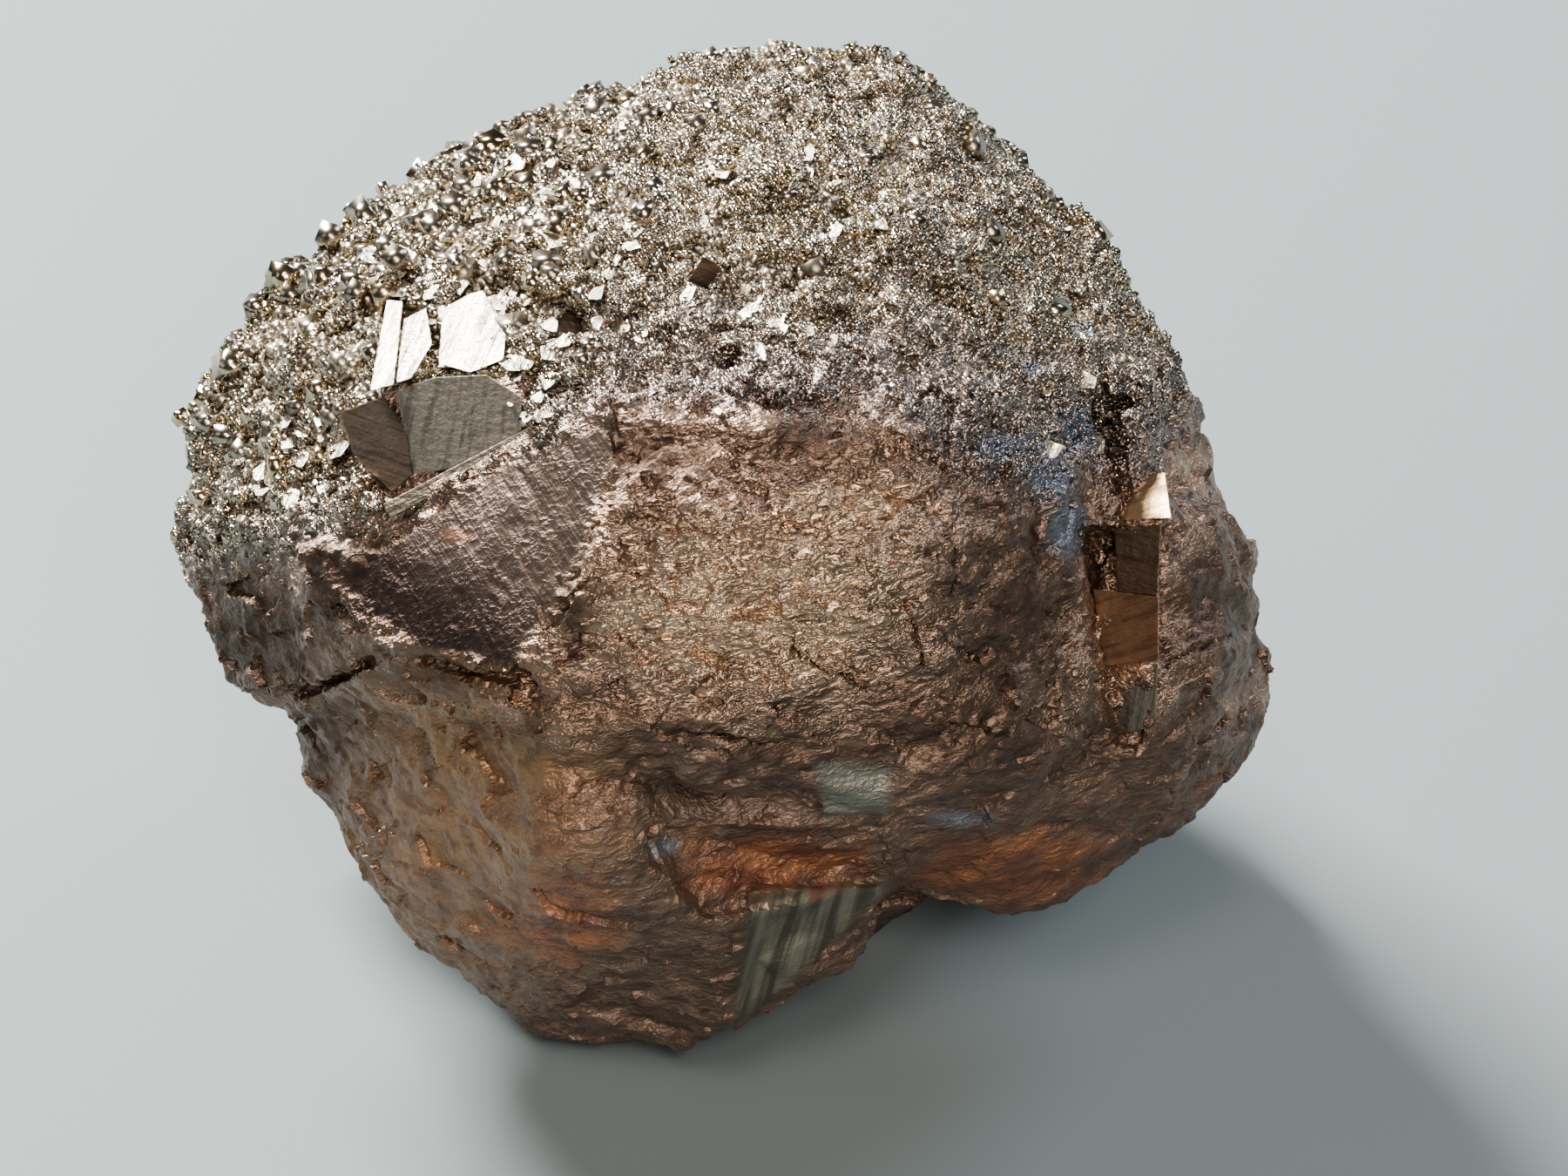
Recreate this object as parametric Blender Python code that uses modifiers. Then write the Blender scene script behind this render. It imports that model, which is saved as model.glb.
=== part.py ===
"""Pyrite specimen: a fist-sized massive pyrite lump, all one piece, with intergrown crystal blocks.

The lump is an aggregate of convex crystal blocks that have grown through each other. Each block is the hull
of its corners. The blocks are fused, worn round, roughened by deterministic noise, and then the sharp things
are added: flat crystal faces, cubes, clefts and pits. Last it is cut flat where it rests.

Corners are given in millimetres on the face that the specimen shows: u to the right, v up the face and w out
of it, towards whoever looks at it. That face leans back, so it is looked at from FACE_LEAN above the horizon.
"""

import math

import bmesh
import bpy
from mathutils import Matrix, Vector, noise

MM = 0.001

# Driving dimensions, in millimetres.
CENTRE_HEIGHT = 26.0  # from the surface it rests on up to the middle of its front face
FACE_LEAN = math.radians(35)  # how far above the horizon the front face looks

# How the blocks are fused, worn and roughened, in millimetres.
FUSE_VOXEL = 0.7
FINE_VOXEL = 0.45
WEAR_ROUNDS = 4
WEAR_DEPTH = 0.25
SWELL_WAVE = 11.0
SWELL_HEIGHT = 0.6
CHIP_WAVE = 3.2
CHIP_HEIGHT = 1.0
SPLINTER_WAVE = (7.0, 2.6, 5.0)
SPLINTER_HEIGHT = 0.7
MOST_TRIANGLES = 8300
PIT_DEPTH = 1.6

PYRITE_COLOUR = (0.27, 0.2, 0.13)  # linear; the bronze brown of the front face

RIGHT = Vector((1, 0, 0))
UP_FACE = Vector((0, math.sin(FACE_LEAN), math.cos(FACE_LEAN)))
OUT_OF_FACE = Vector((0, -math.cos(FACE_LEAN), math.sin(FACE_LEAN)))


def on_face(u, v, w):
    """A point given on the front face, in metres about the middle of the lump."""
    return (RIGHT * u + UP_FACE * v + OUT_OF_FACE * w) * MM


def inside(x, y, z):
    """A point given upright, in metres about the middle of the lump: x right, y back, z up."""
    return Vector((x, y, z)) * MM


# The flat fan-shaped crystal face on the left looks this way, and lies this far from the middle of the lump.
FAN_LOOKS = (-0.56, 0.14, 0.82)
FAN_REACH = 21.0
FAN_OUTLINE = [
    (-22.5, -0.1),
    (-17.5, 1.9),
    (-9.4, 5.7),
    (-5.8, 8.2),
    (-5.3, 3.2),
    (-7.5, -0.5),
    (-9.6, -6.5),
    (-12.3, -6.6),
    (-16.0, -5.2),
    (-19.1, -3.9),
    (-21.3, -1.2),
]


def on_fan(u, v, above):
    """A point of the fan's plane, or this many millimetres in front of it."""
    w = (FAN_REACH - FAN_LOOKS[0] * u - FAN_LOOKS[1] * v) / FAN_LOOKS[2]
    return on_face(u, v, w + above)


# The crown is the broad upper mass, from the granular top down to the ledge on its left.
CROWN_RIM = [
    on_face(-26.6, -7.2, -5.0),
    on_face(-28.8, -3.0, -6.0),
    on_face(-29.8, 1.2, -6.0),
    on_face(-29.0, 6.6, -5.0),
    on_face(-27.2, 11.0, -5.0),
    on_face(-24.2, 14.8, -6.0),
    on_face(-19.6, 18.6, -7.0),
    on_face(-14.4, 21.4, -8.0),
    on_face(-9.0, 24.0, -9.0),
    on_face(-3.8, 26.2, -10.0),
    on_face(3.6, 28.2, -11.0),
    on_face(8.6, 27.7, -12.0),
    on_face(11.9, 26.4, -12.0),
    on_face(15.2, 22.4, -10.0),
    on_face(19.0, 18.4, -9.0),
    on_face(22.8, 14.2, -8.0),
    on_face(26.0, 8.8, -8.0),
    on_face(28.2, 3.2, -9.0),
    on_face(29.4, -2.0, -10.0),
]
CROWN_TOP = [
    on_face(-22.0, 10.0, 4.5),
    on_face(-14.0, 14.5, 7.5),
    on_face(-6.0, 18.0, 9.0),
    on_face(4.0, 20.0, 8.5),
    on_face(13.0, 16.5, 7.5),
    on_face(20.0, 10.5, 5.5),
]
CROWN_FRONT = [
    on_face(-6.5, 7.5, 20.0),
    on_face(4.0, 9.0, 20.0),
    on_face(13.0, 6.5, 17.5),
    on_face(17.6, 3.0, 15.0),
    on_face(-8.0, -1.5, 22.0),
    on_face(1.0, 0.5, 23.0),
    on_face(9.5, -1.5, 21.5),
    on_face(19.8, -3.0, 12.5),
    on_face(-10.0, -6.8, 18.0),
    on_face(-8.8, -10.0, 18.5),
    on_face(1.0, -11.0, 19.0),
    on_face(8.0, -14.0, 14.5),
    on_face(17.0, -12.5, 12.0),
    on_face(19.8, -9.0, 11.0),
]
CROWN_LEFT = [
    on_face(-22.0, 0.5, 10.0),
    on_face(-12.6, 4.4, 17.6),
    on_face(-18.0, -5.2, 13.6),
    on_face(-21.5, -3.5, 10.0),
    on_face(-23.5, -6.5, 3.0),
]
CROWN_BACK = [
    inside(-22.0, 16.0, 8.0),
    inside(-10.0, 27.0, 10.0),
    inside(6.0, 30.0, 8.0),
    inside(18.0, 24.0, 6.0),
    inside(-20.0, 18.0, -6.0),
    inside(4.0, 28.0, -6.0),
    inside(22.0, 16.0, -6.0),
]

# The core carries the crown and ends in the face that the lump rests on.
CORE = [
    inside(-13.0, -3.0, -27.0),
    inside(3.0, -4.0, -27.0),
    inside(9.0, 6.0, -27.0),
    inside(18.0, 9.0, -27.0),
    inside(18.0, 17.0, -27.0),
    inside(9.0, 24.0, -27.0),
    inside(-9.0, 24.0, -27.0),
    inside(-17.0, 14.0, -27.0),
    inside(-21.0, 13.0, -20.0),
    inside(22.0, 14.0, -21.0),
    inside(-25.5, 9.0, -9.0),
    inside(-22.0, 20.0, -9.0),
    inside(-12.0, 28.0, -12.0),
    inside(6.0, 30.0, -14.0),
    inside(20.0, 23.0, -13.0),
    inside(26.0, 13.0, -10.0),
    inside(26.0, 8.0, -6.0),
    inside(16.0, -8.0, -12.0),
    inside(-14.0, -10.0, -10.0),
    inside(0.0, 10.0, 12.0),
]

# The lower left lobe is tucked under the crown's ledge.
LEFT_LOBE = [
    on_face(-9.6, -9.2, 18.0),
    on_face(-5.6, -11.2, 17.8),
    on_face(-23.8, -8.2, -5.0),
    on_face(-19.5, -6.4, 5.5),
    on_face(-11.0, -7.6, 13.0),
    on_face(-9.4, -11.0, 15.8),
    on_face(-8.8, -15.6, 17.0),
    on_face(-5.0, -15.4, 16.5),
    on_face(-2.0, -17.6, 14.5),
    on_face(1.4, -20.6, 10.5),
    on_face(1.0, -25.0, 3.0),
    on_face(-1.6, -27.8, -3.5),
    on_face(-8.9, -26.8, -4.5),
    on_face(-13.2, -24.6, -4.5),
    on_face(-17.2, -21.0, -4.0),
    on_face(-20.6, -16.6, -4.0),
    on_face(-22.8, -12.0, -5.0),
    inside(-14.0, 6.0, -22.0),
    inside(0.0, 0.0, -22.0),
    inside(-20.0, 4.0, -8.0),
    inside(0.0, -6.0, -4.0),
]

# The strip under the front's lower edge, stained by rust.
RUST_STRIP = [
    on_face(-5.0, -14.0, 15.0),
    on_face(8.6, -14.0, 11.0),
    on_face(9.8, -18.4, 5.0),
    on_face(1.6, -19.8, 10.0),
    on_face(-2.0, -17.4, 13.5),
    inside(-4.0, 0.0, -16.0),
    inside(10.0, 0.0, -16.0),
    inside(4.0, -6.0, 0.0),
]

# A striated crystal whose flat side faces down towards the front.
UNDER_CRYSTAL = [
    on_face(1.0, -19.5, 9.5),
    on_face(6.4, -18.4, 7.0),
    on_face(9.0, -18.2, 3.5),
    on_face(7.6, -21.8, 0.0),
    on_face(3.6, -24.0, -1.0),
    on_face(1.0, -25.6, 0.5),
    inside(-2.0, 0.0, -20.0),
    inside(7.0, 4.0, -20.0),
    inside(4.0, -4.0, -8.0),
]

# The lower right bulge.
RIGHT_BULGE = [
    on_face(9.8, -18.6, 1.5),
    on_face(12.4, -19.4, 0.5),
    on_face(14.4, -20.4, -1.5),
    on_face(16.8, -20.8, -2.5),
    on_face(20.2, -18.9, -3.5),
    on_face(23.0, -17.0, -4.5),
    on_face(25.4, -14.9, -6.0),
    on_face(9.0, -13.6, 11.0),
    on_face(14.0, -13.2, 11.0),
    on_face(20.0, -12.6, 7.5),
    on_face(24.0, -10.0, 3.0),
    inside(10.0, 4.0, -18.0),
    inside(22.0, 8.0, -14.0),
    inside(14.0, 0.0, 0.0),
]

# The right lobe, beyond the cleft.
RIGHT_LOBE = [
    on_face(23.7, 2.2, 6.0),
    on_face(27.6, 1.8, 0.0),
    on_face(29.8, -0.5, -5.0),
    on_face(30.1, -3.4, -6.5),
    on_face(27.0, -4.6, 3.0),
    on_face(23.9, -6.2, 7.0),
    inside(16.0, 4.0, -10.0),
    inside(24.0, 12.0, -6.0),
    inside(20.0, 0.0, 6.0),
]

# Below it lies a second lobe, with a groove between the two.
LOW_RIGHT_LOBE = [
    on_face(23.4, -6.8, 8.2),
    on_face(26.6, -5.2, 5.4),
    on_face(29.8, -4.6, -3.5),
    on_face(30.4, -6.3, -7.0),
    on_face(30.3, -8.3, -7.0),
    on_face(28.9, -11.1, -4.5),
    on_face(27.2, -13.2, -3.0),
    on_face(24.6, -15.6, -3.0),
    on_face(23.1, -12.4, 6.5),
    on_face(20.5, -10.6, 8.0),
    inside(16.0, 4.0, -14.0),
    inside(24.0, 10.0, -10.0),
]

BLOCKS = {
    "crown": CROWN_RIM + CROWN_TOP + CROWN_FRONT + CROWN_LEFT + CROWN_BACK,
    "core": CORE,
    "left_lobe": LEFT_LOBE,
    "rust_strip": RUST_STRIP,
    "under_crystal": UNDER_CRYSTAL,
    "right_bulge": RIGHT_BULGE,
    "right_lobe": RIGHT_LOBE,
    "low_right_lobe": LOW_RIGHT_LOBE,
}

# What was broken away in front of the fan face.
SHAVED = {
    "fan_front": [on_fan(u, v, 0.0) for u, v in FAN_OUTLINE]
    + [on_fan(u * 1.12 + 1.6, v * 1.12, 6.0) for u, v in FAN_OUTLINE],
    "under_lip": [
        on_face(-5.0, -14.0, 24.0),
        on_face(9.6, -14.2, 24.0),
        on_face(-4.0, -20.6, 20.0),
        on_face(10.4, -19.0, 16.0),
        on_face(-3.4, -14.8, 13.6),
        on_face(8.6, -14.8, 10.2),
        on_face(-0.6, -19.6, 10.6),
        on_face(9.6, -18.2, 4.6),
    ],
}

# Crystals with flat faces, grown out of the lump.
CRYSTALS = {
    "fan": [on_fan(u, v, 0.1) for u, v in FAN_OUTLINE]
    + [on_fan(-13.4, -1.0, 0.7), on_face(-17.0, -1.0, 6.0), on_face(-9.0, 1.0, 12.0)],
    "left_mass": [
        on_face(-29.6, -0.5, -4.0),
        on_face(-28.9, -2.6, -3.5),
        on_face(-27.7, -5.5, -3.0),
        on_face(-26.3, -7.9, -2.0),
        on_face(-24.1, -8.1, 1.0),
        on_face(-22.4, -7.1, 4.8),
        on_face(-19.2, -4.4, 11.4),
        on_face(-21.4, -0.4, 10.6),
        on_face(-24.6, 1.2, 6.0),
        on_face(-27.6, 2.0, 1.0),
        on_face(-20.0, -2.0, -2.0),
    ],
    "under_crystal_face": [
        on_face(1.5, -18.3, 11.8),
        on_face(8.9, -18.2, 6.6),
        on_face(7.4, -22.1, 1.4),
        on_face(6.4, -23.2, 0.0),
        on_face(2.1, -25.2, -0.5),
        on_face(0.7, -26.6, -1.0),
        on_face(3.0, -17.0, -2.0),
    ],
}

# Clefts, hollows and pits. Each is open outwards.
CLEFTS = {
    "left_hollow": [
        on_face(-17.3, 1.2, 16.6),
        on_face(-9.2, 5.1, 21.4),
        on_face(-17.5, 2.8, 11.3),
        on_face(-10.0, 6.5, 15.9),
        on_face(-20.4, 5.0, 8.4),
        on_face(-20.9, 7.4, 8.2),
        on_face(-11.0, 8.8, 15.0),
        on_face(-21.6, 7.4, 17.0),
        on_face(-10.6, 9.0, 23.0),
    ],
    "left_ledge": [
        on_face(-25.4, -8.6, 6.0),
        on_face(-25.4, -10.6, 6.0),
        on_face(-18.4, -5.6, 16.0),
        on_face(-18.2, -6.4, 16.0),
        on_face(-22.0, -7.4, -2.0),
        on_face(-18.2, -5.8, 7.0),
    ],
    "middle_ledge": [
        on_face(-18.8, -5.4, 17.0),
        on_face(-18.6, -6.1, 17.0),
        on_face(-9.2, -7.0, 24.0),
        on_face(-9.2, -8.1, 24.0),
        on_face(-16.4, -5.4, 9.0),
        on_face(-10.0, -6.8, 15.0),
    ],
    "top_hollow": [
        on_face(-10.6, 11.0, 17.0),
        on_face(-8.2, 13.4, 15.0),
        on_face(-6.0, 12.8, 15.0),
        on_face(-5.7, 10.6, 18.0),
        on_face(-8.0, 11.8, 10.0),
    ],
    "right_hollow": [
        on_face(18.9, 8.6, 12.0),
        on_face(21.5, 10.8, 8.0),
        on_face(24.6, 9.0, 6.0),
        on_face(24.6, 3.6, 10.0),
        on_face(21.4, 3.2, 14.0),
        on_face(20.0, 7.0, 1.5),
        on_face(22.0, 5.2, 2.0),
    ],
    "right_slot": [
        on_face(18.2, 1.4, 16.0),
        on_face(20.1, -10.8, 16.0),
        on_face(23.2, 2.1, 16.0),
        on_face(22.9, -11.4, 16.0),
        on_face(20.0, 0.8, 5.0),
        on_face(21.6, -10.5, 5.0),
        on_face(23.4, 1.2, 4.0),
        on_face(22.9, -10.5, 3.5),
    ],
    "front_split": [
        on_face(2.9, 3.0, 24.0),
        on_face(3.4, 3.0, 24.0),
        on_face(3.3, -0.2, 24.0),
        on_face(2.8, -0.2, 24.0),
        on_face(3.1, 1.4, 20.8),
    ],
    "low_split": [
        on_face(-19.6, -7.4, 13.0),
        on_face(-18.6, -7.2, 13.0),
        on_face(-15.4, -11.4, 15.0),
        on_face(-16.0, -11.8, 15.0),
        on_face(-17.0, -9.6, 6.6),
    ],
}
PITS = {
    "top_pit": (on_face(-1.0, 14.3, 13.9), 1.8),
    "brow_pit": (on_face(0.8, 10.1, 18.1), 1.5),
    "right_top_pit": (on_face(13.2, 13.2, 11.4), 1.9),
    "peak_pit": (on_face(6.4, 24.9, -4.2), 2.2),
    "lobe_pit": (on_face(-14.6, -21.9, -1.0), 2.0),
    "fan_pit": (on_face(-9.3, -7.2, 18.6), 1.6),
}

# Crystals that stand in the hollows, and small ones on the front.
SMALL_CRYSTALS = {
    "bright_block": [
        on_face(-20.5, 7.2, 9.2),
        on_face(-16.8, 8.0, 12.4),
        on_face(-10.4, 8.7, 16.2),
        on_face(-19.7, 4.7, 9.4),
        on_face(-17.5, 2.5, 11.8),
        on_face(-16.2, 3.4, 13.2),
        on_face(-10.3, 6.0, 16.4),
        on_face(-20.0, 11.4, 5.4),
        on_face(-17.8, 14.1, 4.0),
        on_face(-13.2, 14.3, 7.2),
        on_face(-10.6, 11.1, 12.0),
        on_face(-17.0, 6.0, 4.0),
        on_face(-11.0, 7.0, 9.0),
    ],
    "slot_dark": [
        on_face(21.3, 1.4, 7.0),
        on_face(23.6, 1.6, 8.4),
        on_face(23.7, -2.7, 8.4),
        on_face(21.5, -2.9, 6.0),
        on_face(23.0, 1.6, 1.0),
        on_face(23.0, -3.0, 1.0),
    ],
    "slot_orange": [
        on_face(20.0, -3.6, 8.2),
        on_face(23.2, -3.3, 9.0),
        on_face(23.3, -7.5, 9.0),
        on_face(20.6, -7.6, 7.0),
        on_face(22.0, -4.0, 1.0),
        on_face(22.0, -7.6, 1.0),
    ],
    "slot_grey": [
        on_face(20.7, -7.6, 7.4),
        on_face(23.5, -7.3, 8.0),
        on_face(23.4, -9.9, 6.8),
        on_face(21.2, -10.4, 6.3),
        on_face(22.0, -7.6, 1.0),
        on_face(22.0, -10.8, 1.0),
    ],
    "gold_corner": [
        on_face(21.9, 1.3, 8.2),
        on_face(24.2, 1.6, 8.7),
        on_face(24.0, 3.9, 6.4),
        on_face(22.7, 3.8, 6.2),
        on_face(23.2, 1.4, 1.0),
        on_face(23.2, 3.8, 1.0),
    ],
    "green_corner": [
        on_face(5.1, -11.7, 16.2),
        on_face(8.8, -11.6, 15.2),
        on_face(9.0, -14.1, 13.7),
        on_face(5.4, -14.2, 14.4),
        on_face(6.6, -11.0, 9.0),
        on_face(7.4, -14.0, 7.0),
    ],
    "high_step": [
        on_face(21.2, 10.7, 4.0),
        on_face(23.8, 10.3, 1.4),
        on_face(23.7, 8.4, 3.4),
        on_face(21.2, 8.4, 6.2),
        on_face(21.0, 9.4, -3.0),
    ],
    "low_step": [
        on_face(21.8, 7.3, 6.4),
        on_face(24.1, 7.8, 3.4),
        on_face(24.2, 3.2, 4.6),
        on_face(22.2, 3.0, 7.6),
        on_face(22.0, 6.0, -2.0),
    ],
}

# Cubes half sunk into the back and the sides: where each one's middle is, its edge and its two turns in degrees.
CUBES = {
    "back_cube": (inside(8.0, 24.0, -4.0), 12.0, -18.0, 14.0),
    "back_high_cube": (inside(14.5, 21.5, 1.5), 8.0, 10.0, 30.0),
    "back_low_cube": (inside(1.0, 26.0, -12.0), 8.0, 25.0, -10.0),
    "left_back_cube": (inside(-17.5, 19.0, -6.5), 10.0, 24.0, 12.0),
    "left_low_cube": (inside(-21.5, 12.0, -13.5), 7.0, -30.0, 10.0),
    "right_low_cube": (inside(22.5, 12.0, -14.5), 6.5, 33.0, -14.0),
}

# The granular top ends along this line of the front face; below it the surface is fibrous.
GRAIN_EDGE = [(-30.0, -2.0), (-16.5, 2.4), (-10.8, 5.2), (-6.0, 7.4), (8.0, 7.2), (15.4, 3.3), (20.0, 0.0), (30.0, -6.0)]


def new_object(name, bm):
    """An object holding the bmesh, in metres and in place."""
    mesh = bpy.data.meshes.new(name)
    bm.to_mesh(mesh)
    bm.free()
    obj = bpy.data.objects.new(name, mesh)
    bpy.context.scene.collection.objects.link(obj)
    return obj


def clear_scene():
    for obj in list(bpy.data.objects):
        bpy.data.objects.remove(obj)


def add_hull(bm, corners):
    """The convex crystal block with these corners."""
    verts = [bm.verts.new(corner) for corner in corners]
    made = bmesh.ops.convex_hull(bm, input=verts)
    spare = {v for v in made["geom_interior"] + made["geom_unused"] if isinstance(v, bmesh.types.BMVert)}
    bmesh.ops.delete(bm, geom=list(spare), context="VERTS")


def fused_blocks():
    """All the blocks grown together into one body."""
    bm = bmesh.new()
    for corners in BLOCKS.values():
        add_hull(bm, corners)
    bmesh.ops.recalc_face_normals(bm, faces=bm.faces)
    lump = new_object("pyrite", bm)
    fuse(lump, FUSE_VOXEL)
    return lump


def fuse(lump, voxel):
    """Makes one closed skin of everything that overlaps."""
    skin = lump.modifiers.new("fuse", "REMESH")
    skin.mode = "VOXEL"
    skin.voxel_size = voxel * MM
    apply_modifiers(lump)


def apply_modifiers(obj):
    """Replaces the object's mesh by what its modifiers make of it."""
    graph = bpy.context.evaluated_depsgraph_get()
    made = bpy.data.meshes.new_from_object(obj.evaluated_get(graph))
    obj.modifiers.clear()
    obj.data = made


def wear(lump):
    """Rounds the blocks' edges, as breaking and handling do."""
    bm = bmesh.new()
    bm.from_mesh(lump.data)
    for _ in range(WEAR_ROUNDS):
        bmesh.ops.smooth_vert(bm, verts=bm.verts, factor=0.5, use_axis_x=True, use_axis_y=True, use_axis_z=True)
    bm.to_mesh(lump.data)
    bm.free()


def grain_edge_height(u):
    """How high the granular top begins at this place across the front face."""
    for (u0, v0), (u1, v1) in zip(GRAIN_EDGE, GRAIN_EDGE[1:]):
        if u <= u1:
            return v0 + (v1 - v0) * (u - u0) / (u1 - u0)
    return GRAIN_EDGE[-1][1]


def facet(place, wave):
    """Height of a surface made of flat chips, each tilted its own way and about one wave across."""
    scaled = Vector((place[i] / wave[i] for i in range(3)))
    seed = noise.voronoi(scaled)[1][0]
    lean = noise.cell_vector(seed * 9.0) * 2 - Vector((1, 1, 1))
    return (scaled - seed).dot(lean)


def roughen(lump):
    """Low swells, with chips on the granular top and splinters that lie across the fibrous front."""
    bm = bmesh.new()
    bm.from_mesh(lump.data)
    bm.normal_update()
    chip_wave = (CHIP_WAVE, CHIP_WAVE, CHIP_WAVE)
    for vert in bm.verts:
        place = vert.co / MM
        on_axes = Vector((place.dot(RIGHT), place.dot(UP_FACE), place.dot(OUT_OF_FACE)))
        swell = noise.fractal(place / SWELL_WAVE, 0.8, 2.2, 3) * SWELL_HEIGHT
        above = on_axes.y - grain_edge_height(on_axes.x)
        grain = min(max(above + 0.5, 0.0), 1.0)
        chips = facet(place, chip_wave) * CHIP_HEIGHT
        splinters = facet(on_axes, SPLINTER_WAVE) * SPLINTER_HEIGHT
        vert.co += vert.normal * (WEAR_DEPTH + swell + chips * grain + splinters * (1 - grain)) * MM
    bm.to_mesh(lump.data)
    bm.free()


def thin_out(lump):
    """Keeps triangles where the shape bends, and few on flat faces."""
    count = sum(len(face.vertices) - 2 for face in lump.data.polygons)
    thin = lump.modifiers.new("thin", "DECIMATE")
    thin.ratio = MOST_TRIANGLES / count
    thin.use_collapse_triangulate = True
    apply_modifiers(lump)


def hull_shapes(parts):
    """A bmesh for each list of corners."""
    shapes = {}
    for name, corners in parts.items():
        shapes[name] = bmesh.new()
        add_hull(shapes[name], corners)
        bmesh.ops.recalc_face_normals(shapes[name], faces=shapes[name].faces)
    return shapes


def cube_shapes():
    """A bmesh for each cube of the back and the sides."""
    shapes = {}
    for name, (middle, edge, turn, lean) in CUBES.items():
        place = Matrix.Translation(middle) @ Matrix.Rotation(math.radians(turn), 4, "Z")
        place = place @ Matrix.Rotation(math.radians(lean), 4, "X") @ Matrix.Rotation(math.radians(lean), 4, "Y")
        shapes[name] = bmesh.new()
        bmesh.ops.create_cube(shapes[name], size=edge * MM, matrix=place)
    return shapes


def pit_shapes(lump):
    """A bmesh for each pit: a four-sided hole that narrows inwards from where it opens."""
    shapes = {}
    for name, (mouth, across) in PITS.items():
        found, _, normal, _ = lump.closest_point_on_mesh(mouth)
        turn = normal.to_track_quat("Z", "Y").to_matrix().to_4x4()
        place = Matrix.Translation(mouth) @ turn
        shapes[name] = bmesh.new()
        bmesh.ops.create_cone(
            shapes[name],
            cap_ends=True,
            segments=4,
            radius1=across * MM * 0.35,
            radius2=across * MM,
            depth=PIT_DEPTH * MM * 2,
            matrix=place,
        )
    return shapes


def combine(lump, title, operation, shapes):
    """Joins the shapes to the lump, or cuts them out of it."""
    collection = bpy.data.collections.new(title)
    collection.hide_render = True
    bpy.context.scene.collection.children.link(collection)
    for name, bm in shapes.items():
        shape = new_object(name, bm)
        shape.hide_render = True
        shape.display_type = "WIRE"
        bpy.context.scene.collection.objects.unlink(shape)
        collection.objects.link(shape)
    step = lump.modifiers.new(title, "BOOLEAN")
    step.operation = operation
    step.operand_type = "COLLECTION"
    step.collection = collection
    step.solver = "EXACT"
    apply_modifiers(lump)


def shell_from(start):
    """The faces that hang together with this one."""
    shell = {start}
    edge_of_growth = [start]
    while edge_of_growth:
        face = edge_of_growth.pop()
        for neighbour in {other for edge in face.edges if edge.is_manifold for other in edge.link_faces}:
            if neighbour not in shell:
                shell.add(neighbour)
                edge_of_growth.append(neighbour)
    return shell


def keep_outer_shell(lump):
    """Removes the splinters and sealed voids that cutting leaves, and keeps the outer surface."""
    bm = bmesh.new()
    bm.from_mesh(lump.data)
    bmesh.ops.triangulate(bm, faces=bm.faces)
    rest = set(bm.faces)
    outer = set()
    while rest:
        shell = shell_from(next(iter(rest)))
        rest -= shell
        outer = max(outer, shell, key=len)
    spare = [face for face in bm.faces if face not in outer]
    bmesh.ops.delete(bm, geom=spare, context="FACES")
    bm.to_mesh(lump.data)
    bm.free()


def cut_base(lump):
    """Cuts the lump flat where it rests."""
    bm = bmesh.new()
    bm.from_mesh(lump.data)
    geometry = bm.verts[:] + bm.edges[:] + bm.faces[:]
    floor = Vector((0, 0, -CENTRE_HEIGHT * MM))
    cut = bmesh.ops.bisect_plane(bm, geom=geometry, plane_co=floor, plane_no=(0, 0, 1), clear_inner=True)
    rim = [edge for edge in cut["geom_cut"] if isinstance(edge, bmesh.types.BMEdge)]
    bmesh.ops.contextual_create(bm, geom=rim)
    bmesh.ops.triangulate(bm, faces=bm.faces)
    bm.to_mesh(lump.data)
    bm.free()


def centre_on_base(lump):
    """Moves the lump so that the middle of its bounding box's underside is the origin."""
    corners = [Vector(corner) for corner in lump.bound_box]
    low = [min(corner[i] for corner in corners) for i in range(3)]
    high = [max(corner[i] for corner in corners) for i in range(3)]
    shift = Vector(((low[0] + high[0]) / 2, (low[1] + high[1]) / 2, low[2]))
    lump.data.transform(Matrix.Translation(-shift))
    lump.data.update()


def tarnished_pyrite():
    """Bronze-coloured metallic sulphide, dulled by tarnish."""
    material = bpy.data.materials.new("tarnished_pyrite")
    material.use_nodes = True
    shader = material.node_tree.nodes["Principled BSDF"]
    shader.inputs["Base Color"].default_value = (*PYRITE_COLOUR, 1.0)
    shader.inputs["Metallic"].default_value = 0.8
    shader.inputs["Roughness"].default_value = 0.45
    return material


def main():
    clear_scene()
    lump = fused_blocks()
    wear(lump)
    roughen(lump)
    fuse(lump, FINE_VOXEL)
    thin_out(lump)
    combine(lump, "shaved", "DIFFERENCE", hull_shapes(SHAVED))
    combine(lump, "crystals", "UNION", hull_shapes(CRYSTALS))
    combine(lump, "cubes", "UNION", cube_shapes())
    combine(lump, "clefts", "DIFFERENCE", hull_shapes(CLEFTS))
    combine(lump, "pits", "DIFFERENCE", pit_shapes(lump))
    combine(lump, "small crystals", "UNION", hull_shapes(SMALL_CRYSTALS))
    keep_outer_shell(lump)
    cut_base(lump)
    centre_on_base(lump)
    lump.data.materials.clear()
    lump.data.materials.append(tarnished_pyrite())
    specimen = bpy.data.collections.new("pyrite_specimen")
    bpy.context.scene.collection.children.link(specimen)
    bpy.context.scene.collection.objects.unlink(lump)
    specimen.objects.link(lump)


main()
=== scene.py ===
# %% [markdown]
# # A lump of pyrite
# Pyrite is iron sulphide, the brassy mineral that people take for gold. This lump is massive pyrite: thousands
# of small crystals grown together. Its top breaks like sugar and sparkles, its front is fibrous and bronze with
# tarnish, and here and there a larger crystal shows a flat face.
# The CAD model gives the whole shape. This file grows its fine surface: the skin with splinters and chips, the
# single crystals and flakes, the grains, and the materials. First the frame is loaded.

import math
import random

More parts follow.
